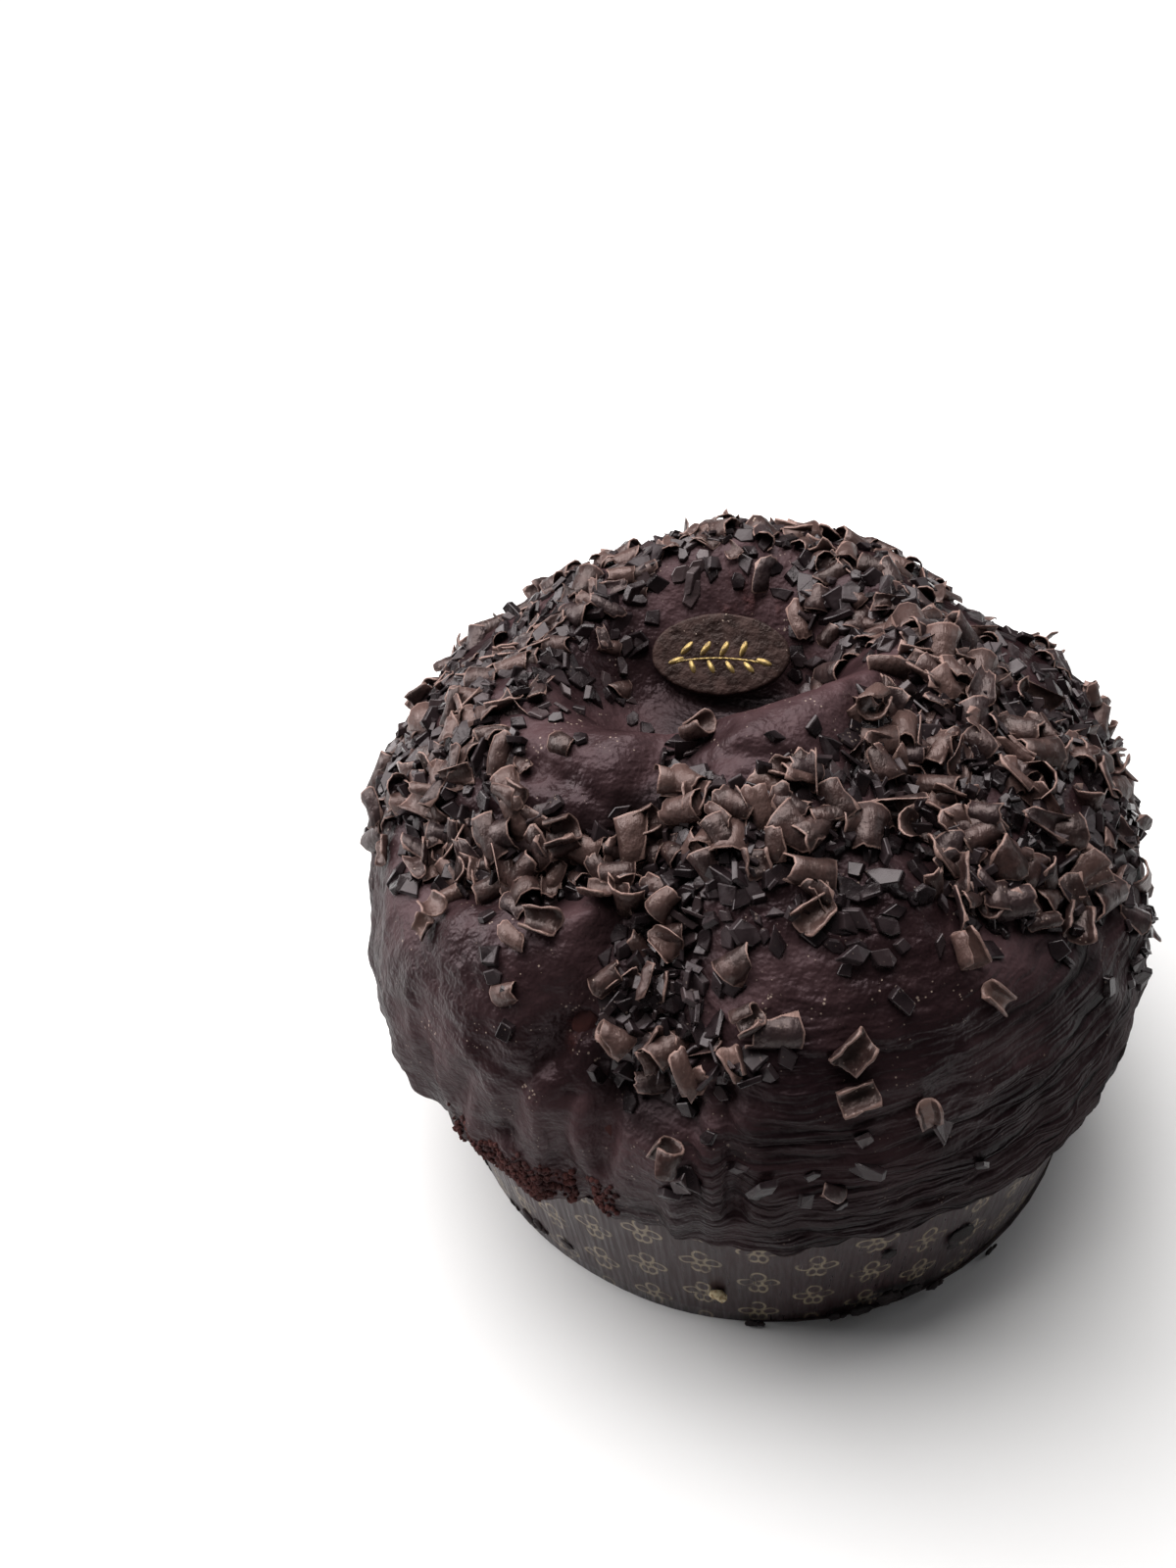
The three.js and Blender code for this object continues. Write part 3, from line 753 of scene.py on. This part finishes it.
shaved = curlMaterial()
broken = chipMaterial()
laid = []
laidCurls = sorted(name for name in nodes if name.startswith("curl_"))
rng = random.Random(topping["seed"])
for k, node in enumerate(laidCurls):
    bm = refineCurl(node, rng.uniform(0.3, 1.0), k)
    finishPiece("laidCurl" + node[-2:], bm, shaved, [node])
    low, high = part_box(node)
    laid.append(((low + high) / 2, 4.2 * mm))
for node in sorted(name for name in nodes if name.startswith("chip_")):
    bm = withLayers(mergedCopy(node))
    soften(bm, bm.edges[:], chipCut["softEdge"])
    finishPiece("laidChip" + node[-2:], bm, broken, [node], smooth=False)
    low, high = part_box(node)
    laid.append(((low + high) / 2, 2.6 * mm))
plaqueLow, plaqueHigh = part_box("plaque")
plaqueMiddle = (plaqueLow + plaqueHigh) / 2
print("laid curls refined:", len(laidCurls))


def strewPieces(rng, masters, batch, isCurl):
    closest = topping["closest" if isCurl else "chipClosest"]
    sizes = topping["curlSizes" if isCurl else "chipSizes"]
    placed = 0
    for stretch in strewn:
        count = stretch[3] if isCurl else stretch[4]
        tries = 0
        while count and tries < topping["tries"]:
            tries += 1
            azimuth, rise = along(rng, stretch)
            if isBare(azimuth, rise) and rng.random() > topping["strayShare"]:
                continue
            spot, normal = landingPlace(azimuth, rise)
            if spot is None or (spot - plaqueMiddle).length < topping["plaqueClear"] * mm:
                continue
            grow = rng.uniform(*sizes)
            reach = closest * grow * mm
            isFar = topping["farSide"][0] < azimuth % 360 < topping["farSide"][1]
            calm = topping["farCalm"] if isFar else 1.0
            crowd = sum((p - spot).length < (reach + r) * topping["overlap"] for p, r in laid)
            if crowd > (2 if isCurl and not isFar else 1):
                continue
            lift = topping["lift"] * curlCut["radius"] * grow if isCurl else topping["chipLift"]
            lift = (lift + crowd * (1.3 if isCurl else 0.8)) * calm
            centre = spot + normal * lift * mm
            if Vector((centre.x, centre.y)).length > topping["box"]:
                continue
            loose = calm * (0.5 if isCurl else 0.35 + 0.5 * crowd)
            turn = faceUp(normal, rng.uniform(0, 6.28), rng.gauss(0, loose), rng.gauss(0, loose * 0.7))
            matrix = Matrix.Translation(centre) @ turn @ Matrix.Scale(grow, 4)
            addCopy(batch(azimuth, rise), rng.choice(masters), matrix, rng.random())
            laid.append((centre, reach * (0.85 if isCurl else 0.8)))
            placed += 1
            count -= 1
    return placed


def strewTopping():
    batches = {}

    def batchFor(kind):
        def pick(azimuth, rise):
            side = ("Front", "Right", "Back", "Left")[int(((azimuth - 225) % 360) // 90)]
            key = kind + ("Top" if rise > 62 else side)
            if key not in batches:
                batches[key] = withLayers(bmesh.new())
            return batches[key]
        return pick

    rng = random.Random(topping["seed"] + 1)
    curlMasters = loadMasters(rollCurl, curlCut["masters"], 100)
    chipMasters = loadMasters(breakChip, chipCut["masters"], 900)
    curlCount = strewPieces(rng, curlMasters, batchFor("curls"), True)
    chipCount = strewPieces(rng, chipMasters, batchFor("chips"), False)
    for key, bm in sorted(batches.items()):
        isCurl = key.startswith("curls")
        bmesh.ops.recalc_face_normals(bm, faces=bm.faces)
        finishPiece(key, bm, shaved if isCurl else broken, smooth=isCurl)
    for mesh in curlMasters + chipMasters:
        bpy.data.meshes.remove(mesh)
    print("strewn:", curlCount, "curls and", chipCount, "chips")


strewTopping()


# the plaque
plaqueSpec = {
    "length": 38.0,
    "width": 23.0,
    "thickness": 3.6,
    "centre": (-10.0, 23.0, 142.6),
    "turn": 42.0,
    "roll": -3.0,
    "dark": (0.0120, 0.0062, 0.0054),
    "pale": (0.036, 0.0200, 0.0175),
    "softEdge": 0.8,
    "gold": (0.25, 0.170, 0.056),
    "wornGold": (0.10, 0.065, 0.035),
}


def plaqueMatrix():
    turn = Matrix.Rotation(math.radians(plaqueSpec["roll"]), 4, "Z")
    turn = turn @ Matrix.Rotation(math.radians(plaqueSpec["turn"]), 4, "X")
    return Matrix.Translation(Vector(plaqueSpec["centre"]) * mm) @ turn


def navette(bm, length, width, height):
    bmesh.ops.create_circle(bm, cap_ends=True, segments=56, radius=0.5)
    for v in bm.verts:
        blunt = math.copysign(abs(v.co.x * 2) ** 0.86, v.co.x) / 2
        v.co = Vector((blunt * length, v.co.y * width * (1 - 0.10 * abs(v.co.x * 2)), height))


def plaqueMaterial():
    material, tree, shader = newMaterial("plaqueChocolate", 0.55, 0.18, (1.0, 0.80, 0.74))
    chocolate = chocolateNode(tree, plaqueSpec["dark"], plaqueSpec["pale"], 0.9, 300.0)
    tree.links.new(chocolate["Color"], shader.inputs["Base Color"])
    setBump(tree, shader, chocolate["Height"], 0.8, 0.0011)
    tree.links.new(spread(tree, chocolate["Cloud"], 0.0, 1.0, 0.42, 0.62), shader.inputs["Roughness"])
    return material


def goldMaterial():
    material, tree, shader = newMaterial("goldLustre", 0.38)
    shader.inputs["Metallic"].default_value = 0.6
    worn = noiseAt(tree, objectPlace(tree), 900.0, 2.0)
    gold = mixColour(tree, spread(tree, worn, 0.5, 0.72), plaqueSpec["gold"], plaqueSpec["wornGold"])
    tree.links.new(gold, shader.inputs["Base Color"])
    tree.links.new(spread(tree, worn, 0.3, 0.7, 0.3, 0.55), shader.inputs["Roughness"])
    setBump(tree, shader, worn, 0.3, 0.0002)
    return material


def buildPlaque():
    bm = bmesh.new()
    navette(bm, plaqueSpec["length"] * mm, plaqueSpec["width"] * mm, -plaqueSpec["thickness"] / 2 * mm)
    faces = bmesh.ops.extrude_face_region(bm, geom=bm.faces[:])
    top = [g for g in faces["geom"] if isinstance(g, bmesh.types.BMVert)]
    bmesh.ops.translate(bm, verts=top, vec=(0, 0, plaqueSpec["thickness"] * mm))
    bmesh.ops.recalc_face_normals(bm, faces=bm.faces)
    rim = [e for e in bm.edges if len(e.link_faces) == 2 and e.calc_face_angle(0) > 0.8]
    soften(bm, rim, plaqueSpec["softEdge"], 4)
    caps = [f for f in bm.faces if len(f.verts) > 20]
    bmesh.ops.inset_individual(bm, faces=caps, thickness=1.0 * mm, depth=0)
    bmesh.ops.triangulate(bm, faces=[f for f in bm.faces if len(f.verts) > 20])
    for v in bm.verts:
        p = v.co / mm
        if abs(p.z) < plaqueSpec["thickness"] / 2 - 0.05:
            v.co.xy += Vector(noise.noise_vector(p / 2.2)[:2]) * 0.25 * mm
    bmesh.ops.transform(bm, matrix=plaqueMatrix(), verts=bm.verts)
    bmesh.ops.recalc_face_normals(bm, faces=bm.faces)
    return bm


# a plain sprig in place of any name: a bowed stem with leaves on both sides
def buildSprig():
    bm = bmesh.new()
    leaves = [(-8.6, -1.5, 3.2, 200), (8.6, -1.5, 3.2, -20)]
    for k in range(4):
        x = -6.6 + 3.7 * k
        leaves += [(x, 1.0, 3.4, 62 + 8 * (k - 1.5)), (x + 1.2, -2.6, 2.9, -58 + 8 * (k - 1.5))]
    stem = [(x * 1.3, -0.9 - 0.02 * x * x, 2.3, -2.6 * x) for x in range(-6, 7)]
    for group, thin in ((leaves, 0.36), (stem, 0.17)):
        for x, y, length, turn in group:
            leaf = bmesh.new()
            navette(leaf, length * mm, length * thin * mm, 0.0)
            bmesh.ops.solidify(leaf, geom=leaf.faces[:], thickness=0.12 * mm)
            place = Matrix.Translation(Vector((x, y, plaqueSpec["thickness"] / 2 + 0.06)) * mm)
            place = place @ Matrix.Rotation(math.radians(turn), 4, "Z")
            bmesh.ops.transform(leaf, matrix=place, verts=leaf.verts)
            joinInto(bm, leaf)
    bmesh.ops.scale(bm, verts=bm.verts, vec=(1.4, 1.4, 1.0))
    bmesh.ops.transform(bm, matrix=plaqueMatrix(), verts=bm.verts)
    bmesh.ops.recalc_face_normals(bm, faces=bm.faces)
    return bm


finishPiece("plaqueNavette", buildPlaque(), plaqueMaterial(), ["plaque"])
finishPiece("plaqueSprig", buildSprig(), goldMaterial())
print("plaque set")


# the paper mould
paperMould = {
    "paper": 1.0,
    "rows": 10,
    "steps": 360,
    "lapAt": 101,  # azimuth of the glued overlap
    "fluteDepth": 0.16,
    "flutes": 120,
    "cell": 15.2,  # the print's repeat round the wall
    "rowPitch": 20.0,  # and up it; every second column is set half a repeat higher
    "lowestRow": 7.7,
    # petals of the print: middle across and up, half width, half height, mm
    "petals": [(3.2, 0.0, 2.2, 1.9), (0.0, 3.6, 1.9, 2.6), (1.1, -3.8, 1.3, 2.3)],
    "brown": (0.0165, 0.0080, 0.0092),
    "paleBrown": (0.0265, 0.0138, 0.0152),
    "fibre": (0.042, 0.0245, 0.0255),
    "footFibre": (0.085, 0.058, 0.054),
    "gold": (0.42, 0.355, 0.235),
    "ribs": 2.2,  # mm from one fine rib of the paper to the next
    "press": (2.2, 312, 60),  # how deep the wall is pressed in, mm, at which azimuth, and up to what height
}


def paperMaterial():
    material, tree, shader = newMaterial("mouldPaper", 0.38, 0.20, (1.0, 0.80, 0.81))
    place = addNode(tree, "ShaderNodeUVMap", {"uv_map": "round"}).outputs[0]
    parts = addNode(tree, "ShaderNodeSeparateXYZ", None, {0: place}).outputs
    across, upward = paperMould["cell"] * mm, paperMould["rowPitch"] * mm
    column = over(tree, parts[0], across)
    drop = mathNode(tree, "FRACT", over(tree, mathNode(tree, "FLOOR", column), 2.0))
    row = over(tree, minus(tree, parts[1], paperMould["lowestRow"] * mm), upward)
    u = minus(tree, mathNode(tree, "FRACT", column), 0.5)
    v = minus(tree, mathNode(tree, "FRACT", plus(tree, row, drop)), 0.5)
    u = times(tree, mathNode(tree, "ABSOLUTE", u), paperMould["cell"])
    v = times(tree, v, paperMould["rowPitch"])

    def loop(middleU, middleV, wide, high):
        x = over(tree, minus(tree, u, middleU), wide)
        y = over(tree, minus(tree, v, middleV), high)
        far = mathNode(tree, "SQRT", plus(tree, times(tree, x, x), times(tree, y, y)))
        away = mathNode(tree, "ABSOLUTE", times(tree, minus(tree, far, 1.0), min(wide, high)))
        return spread(tree, away, 0.20, 0.50, 1.0, 0.0)

    # a small generic blossom of round petals
    marks = loop(*paperMould["petals"][0])
    for petal in paperMould["petals"][1:]:
        marks = mathNode(tree, "MAXIMUM", marks, loop(*petal))
    objectAt = objectPlace(tree)
    wear = spread(tree, noiseAt(tree, objectAt, 260.0, 3.0), 0.30, 0.56)
    gold = times(tree, marks, times(tree, wear, 0.50))

    fibre = noiseAt(tree, stretched(tree, objectAt, (900, 900, 60)), 1.0, 3.0)
    cloud = spread(tree, noiseAt(tree, objectAt, 45.0, 4.0), 0.3, 0.7)
    brown = mixColour(tree, cloud, paperMould["brown"], paperMould["paleBrown"])
    brown = mixColour(tree, spread(tree, fibre, 0.42, 0.68, 0.0, 0.35), brown, paperMould["fibre"])
    tree.links.new(mixColour(tree, gold, brown, paperMould["gold"]), shader.inputs["Base Color"])
    tree.links.new(times(tree, gold, 0.35), shader.inputs["Metallic"])
    tree.links.new(spread(tree, fibre, 0.3, 0.7, 0.27, 0.44), shader.inputs["Roughness"])
    flute = mathNode(tree, "SINE", times(tree, parts[0], 2 * math.pi / (paperMould["ribs"] * mm)))
    height = plus(tree, times(tree, flute, 0.35), fibre)
    setBump(tree, shader, height, 0.35, 0.0004)
    return material


# the soft wall is pressed in a little at the right of the front, and the loaf inside it with it
def pressedIn(angle, height):
    depth, azimuth, top = paperMould["press"]
    return depth * max(0, math.cos(angle - math.radians(azimuth))) * max(0, 1 - height / top)


def buildLoaf():
    bm = mergedCopy("loaf")
    bmesh.ops.subdivide_edges(bm, edges=bm.edges[:], cuts=1, use_grid_fill=True)
    for v in bm.verts:
        height = v.co.z / mm
        if height < mouldWall["height"] and v.co.xy.length > 60 * mm:
            a = math.atan2(v.co.y, v.co.x)
            inward = pressedIn(a, height) + 0.5 - 0.3 * noise.noise(v.co / mm / 5)
            v.co -= Vector((math.cos(a), math.sin(a), 0)) * inward * mm
        elif height > mouldWall["height"]:
            away = (v.co - Vector((*crown["shift"], crown["widestZ"])) * mm).normalized()
            v.co -= away * 1.6 * mm
    bmesh.ops.recalc_face_normals(bm, faces=bm.faces)
    return bm


def buildWall():
    spec = paperMould
    bm = bmesh.new()
    top = mouldWall["height"]
    heights = [top * k / spec["rows"] for k in range(spec["rows"] + 1)]
    profile = [(wallRadius(z), z) for z in heights]
    profile += [(wallRadius(z) - spec["paper"], z) for z in (top, top / 2, 0.0)]
    ring = [bm.verts.new((r * mm, 0, z * mm)) for r, z in profile]
    for a, b in zip(ring, ring[1:] + ring[:1]):
        bm.edges.new((a, b))
    spinRound(bm, spec["steps"])
    bmesh.ops.recalc_face_normals(bm, faces=bm.faces)
    uv = bm.loops.layers.uv.new("round")
    around = round(2 * math.pi * wallRadius(top / 2) / spec["cell"]) * spec["cell"] * mm
    for face in bm.faces:
        middle = face.calc_center_median()
        base = math.atan2(middle.y, middle.x)
        for loop in face.loops:
            a = math.atan2(loop.vert.co.y, loop.vert.co.x)
            a += 2 * math.pi * round((base - a) / (2 * math.pi))
            loop[uv].uv = (a / (2 * math.pi) * around, loop.vert.co.z)
    for v in bm.verts:
        a = math.atan2(v.co.y, v.co.x)
        out = Vector((math.cos(a), math.sin(a), 0))
        height = v.co.z / mm
        pressed = pressedIn(a, height)
        flute = math.sin(a * spec["flutes"]) * spec["fluteDepth"] * min(1, (height + 4) / 20)
        past = math.degrees(a) - spec["lapAt"]
        lap = 0.55 * clamped(past) * clamped((10 - past) / 5)
        sag = 0.5 * noise.noise(Vector((math.cos(a) * 2.2, math.sin(a) * 2.2, height / 50)))
        v.co += out * (flute + lap + sag - pressed) * mm
    return bm


finishPiece("mouldWall", buildWall(), paperMaterial(), ["mould_wall"])


def baseMaterial():
    material, tree, shader = newMaterial("mouldFoot", 0.6, 0.4)
    place = objectPlace(tree)
    fibre = noiseAt(tree, stretched(tree, place, (500, 90, 500)), 1.0, 4.0)
    cloud = spread(tree, noiseAt(tree, place, 30.0, 3.0), 0.3, 0.7)
    brown = mixColour(tree, cloud, paperMould["brown"], paperMould["paleBrown"])
    brown = mixColour(tree, spread(tree, fibre, 0.45, 0.7, 0.0, 0.5), brown, paperMould["footFibre"])
    tree.links.new(brown, shader.inputs["Base Color"])
    tree.links.new(spread(tree, fibre, 0.3, 0.7, 0.5, 0.75), shader.inputs["Roughness"])
    rings = mathNode(tree, "SINE", times(tree, noiseAt(tree, place, 9.0, 0.0), 60.0))
    setBump(tree, shader, plus(tree, fibre, times(tree, rings, 0.2)), 0.4, 0.0005)
    return material


loafCrumb = {"dark": (0.028, 0.0085, 0.0088), "pale": (0.074, 0.025, 0.022)}


def crumbMaterial():
    material, tree, shader = newMaterial("bakedCrumb", 0.9, 0.2)
    place = objectPlace(tree)
    holes = addNode(tree, "ShaderNodeTexVoronoi", None, {"Vector": place, "Scale": 240.0})
    tone = spread(tree, noiseAt(tree, place, 160.0, 4.0), 0.3, 0.7)
    tree.links.new(mixColour(tree, tone, loafCrumb["dark"], loafCrumb["pale"]), shader.inputs["Base Color"])
    setBump(tree, shader, holes.outputs["Distance"], 0.8, 0.001)
    tree.links.new(spread(tree, tone, 0.0, 1.0, 0.82, 0.95), shader.inputs["Roughness"])
    return material


crumbStuff = crumbMaterial()
finishPiece("loafCrumb", buildLoaf(), crumbStuff, ["loaf"])
nodes["mould_base"].data.materials.clear()
nodes["mould_base"].data.materials.append(baseMaterial())
print("mould folded")


# crumbs and drips at the glaze's edge and the mould's foot
looseBits = {
    "edgeCrumbs": ((224, 253), 620, (0.35, 1.0)),  # from and to azimuth, how many, from and to size (mm)
    "footDrips": [  # azimuth, height and size (mm), here and below
        (207, 2.0, 2.6), (212, 1.5, 2.2), (227, 5.0, 3.6), (230, 7.5, 2.8), (222, 2.0, 2.0),
        (269, 1.2, 2.4), (282, 3.5, 2.6), (286, 4.5, 3.4), (290.5, 8.0, 4.0), (294.5, 7.0, 3.4),
        (299, 3.0, 2.4), (311, 1.4, 2.0), (160, 1.2, 2.4), (120, 1.0, 2.8), (65, 1.4, 2.2), (30, 1.0, 2.6),
    ],
    "wallSmears": [
        (301.7, 31.5, 4.0), (300.6, 27.5, 2.2), (289.2, 38.5, 2.2), (237, 12, 2.2), (333, 35, 2.4),
        (205, 24, 1.8), (80, 20, 2.2), (150, 30, 2.6),
    ],
    "nut": (263.9, 20.0, 2.5),
    "dripDark": (0.0055, 0.0030, 0.0032),
    "dripPale": (0.0150, 0.0078, 0.0080),
    "nutPale": (0.50, 0.42, 0.26),
    "nutSkin": (0.24, 0.16, 0.08),
    "seed": 5,
}


def blob(bm, centre, size, seed, flat=1.0, facing=Vector((0, 0, 1)), detail=2):
    lump = withLayers(bmesh.new())
    tint = lump.verts.layers.float["tint"]
    bmesh.ops.create_icosphere(lump, subdivisions=detail, radius=1.0)
    for v in lump.verts:
        v.co *= 1 + 0.55 * noise.noise(v.co * 1.3 + Vector((seed * 3.1, seed, 0)))
        v.co.z *= flat
        v[tint] = (seed * 0.37) % 1
    lump.transform(Matrix.Translation(centre) @ faceUp(facing, seed, 0, 0) @ Matrix.Scale(size, 4))
    joinInto(bm, lump)


def onWall(azimuth, height, out=0.0):
    a = math.radians(azimuth)
    facing = Vector((math.cos(a), math.sin(a), 0))
    return facing * (wallRadius(height) + out) * mm + Vector((0, 0, height * mm)), facing


rng = random.Random(looseBits["seed"])
crumbs, drips, nut = [withLayers(bmesh.new()) for k in range(3)]
span, count, crumbSizes = looseBits["edgeCrumbs"]
for k in range(count):
    azimuth = rng.triangular(*span, 240)
    height = edgeLine(np.array([azimuth]))[0] + rng.triangular(0.0, 20.0, 9.0)
    centre, facing = onWall(azimuth, height, 9.0)
    onGlaze = glazeTree.find_nearest(centre)[0]
    blob(crumbs, onGlaze + facing * 0.1 * mm, rng.uniform(*crumbSizes) * mm, k, detail=1)
for k, (azimuth, height, size) in enumerate(looseBits["footDrips"]):
    centre, facing = onWall(azimuth, height + size * 0.35, -0.1)
    blob(drips, centre, size * 0.8 * mm, k, 0.30, facing)
    centre, facing = onWall(azimuth + 1.4, height + size * 0.2, -0.1)
    blob(drips, centre, size * 0.5 * mm, k + 40, 0.36, facing)
for k, (azimuth, height, size) in enumerate(looseBits["wallSmears"]):
    centre, facing = onWall(azimuth, height)
    blob(drips, centre, size * mm, k + 80, 0.10, facing)
azimuth, height, size = looseBits["nut"]
centre, facing = onWall(azimuth, height, 0.5)
blob(nut, centre, size * mm, 3, 0.5, facing)


def dripMaterial():
    material, tree, shader = newMaterial("driedDrip", 0.55, 0.14)
    chocolate = chocolateNode(tree, looseBits["dripDark"], looseBits["dripPale"], 0.2, 90.0)
    tree.links.new(chocolate["Color"], shader.inputs["Base Color"])
    setBump(tree, shader, chocolate["Height"], 0.6, 0.0006)
    return material


def nutMaterial():
    material, tree, shader = newMaterial("nutCrumb", 0.7, 0.3)
    tone = noiseAt(tree, objectPlace(tree), 900.0, 3.0)
    colour = mixColour(tree, spread(tree, tone, 0.4, 0.65), looseBits["nutPale"], looseBits["nutSkin"])
    tree.links.new(colour, shader.inputs["Base Color"])
    setBump(tree, shader, tone, 0.5, 0.0004)
    return material


for bits in (crumbs, drips, nut):
    for v in bits.verts:
        v.co.z = max(v.co.z, 0.05 * mm)
    bmesh.ops.recalc_face_normals(bits, faces=bits.faces)
finishPiece("edgeCrumbs", crumbs, crumbStuff)
finishPiece("footDrips", drips, dripMaterial())
finishPiece("nutCrumb", nut, nutMaterial())
print("crumbs and drips laid")


# floor, light and camera
studio = {
    "floor": (0.70, 0.70, 0.70),
    "floorRadius": 0.85,  # m; the floor ends before its light does
    "lights": [
        # name, place (m), size (m), watts, colour
        ("topSoftbox", (-0.16, 0.32, 1.05), 1.1, 29.0, (1.0, 0.985, 0.975)),
        ("leftSoftbox", (-1.00, 0.20, 0.60), 0.7, 13.0, (1.0, 0.98, 0.98)),
        ("rightEdge", (1.05, 0.45, 0.55), 0.6, 2.0, (0.98, 0.98, 1.0)),
    ],
    "world": 0.08,
    "backdrop": 1.15,  # how bright the empty background looks
    "camera": (0.0, -0.260, 0.358),
    "cameraTurn": (47.23, 5.24, 5.48),
    "lens": 29.25,
}


def buildStudio():
    bpy.ops.mesh.primitive_circle_add(vertices=128, radius=studio["floorRadius"], fill_type="NGON")
    floor = bpy.context.object
    floor.name = "floor"
    material, tree, shader = newMaterial("paleFloor", 0.8, 0.2)
    grain = noiseAt(tree, objectPlace(tree), 3.0, 2.0)
    pale = studio["floor"]
    colour = mixColour(tree, spread(tree, grain, 0.3, 0.7), pale, tuple(c * 0.985 for c in pale))
    tree.links.new(colour, shader.inputs["Base Color"])
    floor.data.materials.append(material)
    for name, place, size, watts, colour in studio["lights"]:
        light = bpy.data.lights.new(name, "AREA")
        light.size = size
        light.energy = watts
        light.color = colour
        lamp = bpy.data.objects.new(name, light)
        bpy.context.scene.collection.objects.link(lamp)
        lamp.location = place
        lamp.rotation_euler = (Vector((0, 0, 0.08)) - Vector(place)).to_track_quat("-Z", "Y").to_euler()
    world = bpy.data.worlds.new("studio")
    world.use_nodes = True
    tree = world.node_tree
    backdrop = tree.nodes["Background"].inputs
    backdrop["Color"].default_value = (0.97, 0.98, 1.0, 1)
    seen = addNode(tree, "ShaderNodeLightPath").outputs["Is Camera Ray"]
    glow = mathNode(tree, "MAXIMUM", times(tree, seen, studio["backdrop"]), studio["world"])
    tree.links.new(glow, backdrop["Strength"])
    bpy.context.scene.world = world
    camera = bpy.data.objects.new("camera", bpy.data.cameras.new("camera"))
    camera.data.lens = studio["lens"]
    camera.data.sensor_width = 36.0
    camera.data.clip_start = 0.01
    camera.location = studio["camera"]
    camera.rotation_euler = [math.radians(a) for a in studio["cameraTurn"]]
    bpy.context.scene.collection.objects.link(camera)
    bpy.context.scene.camera = camera
    bpy.context.scene.view_settings.view_transform = "Standard"


buildStudio()
print("studio lit")
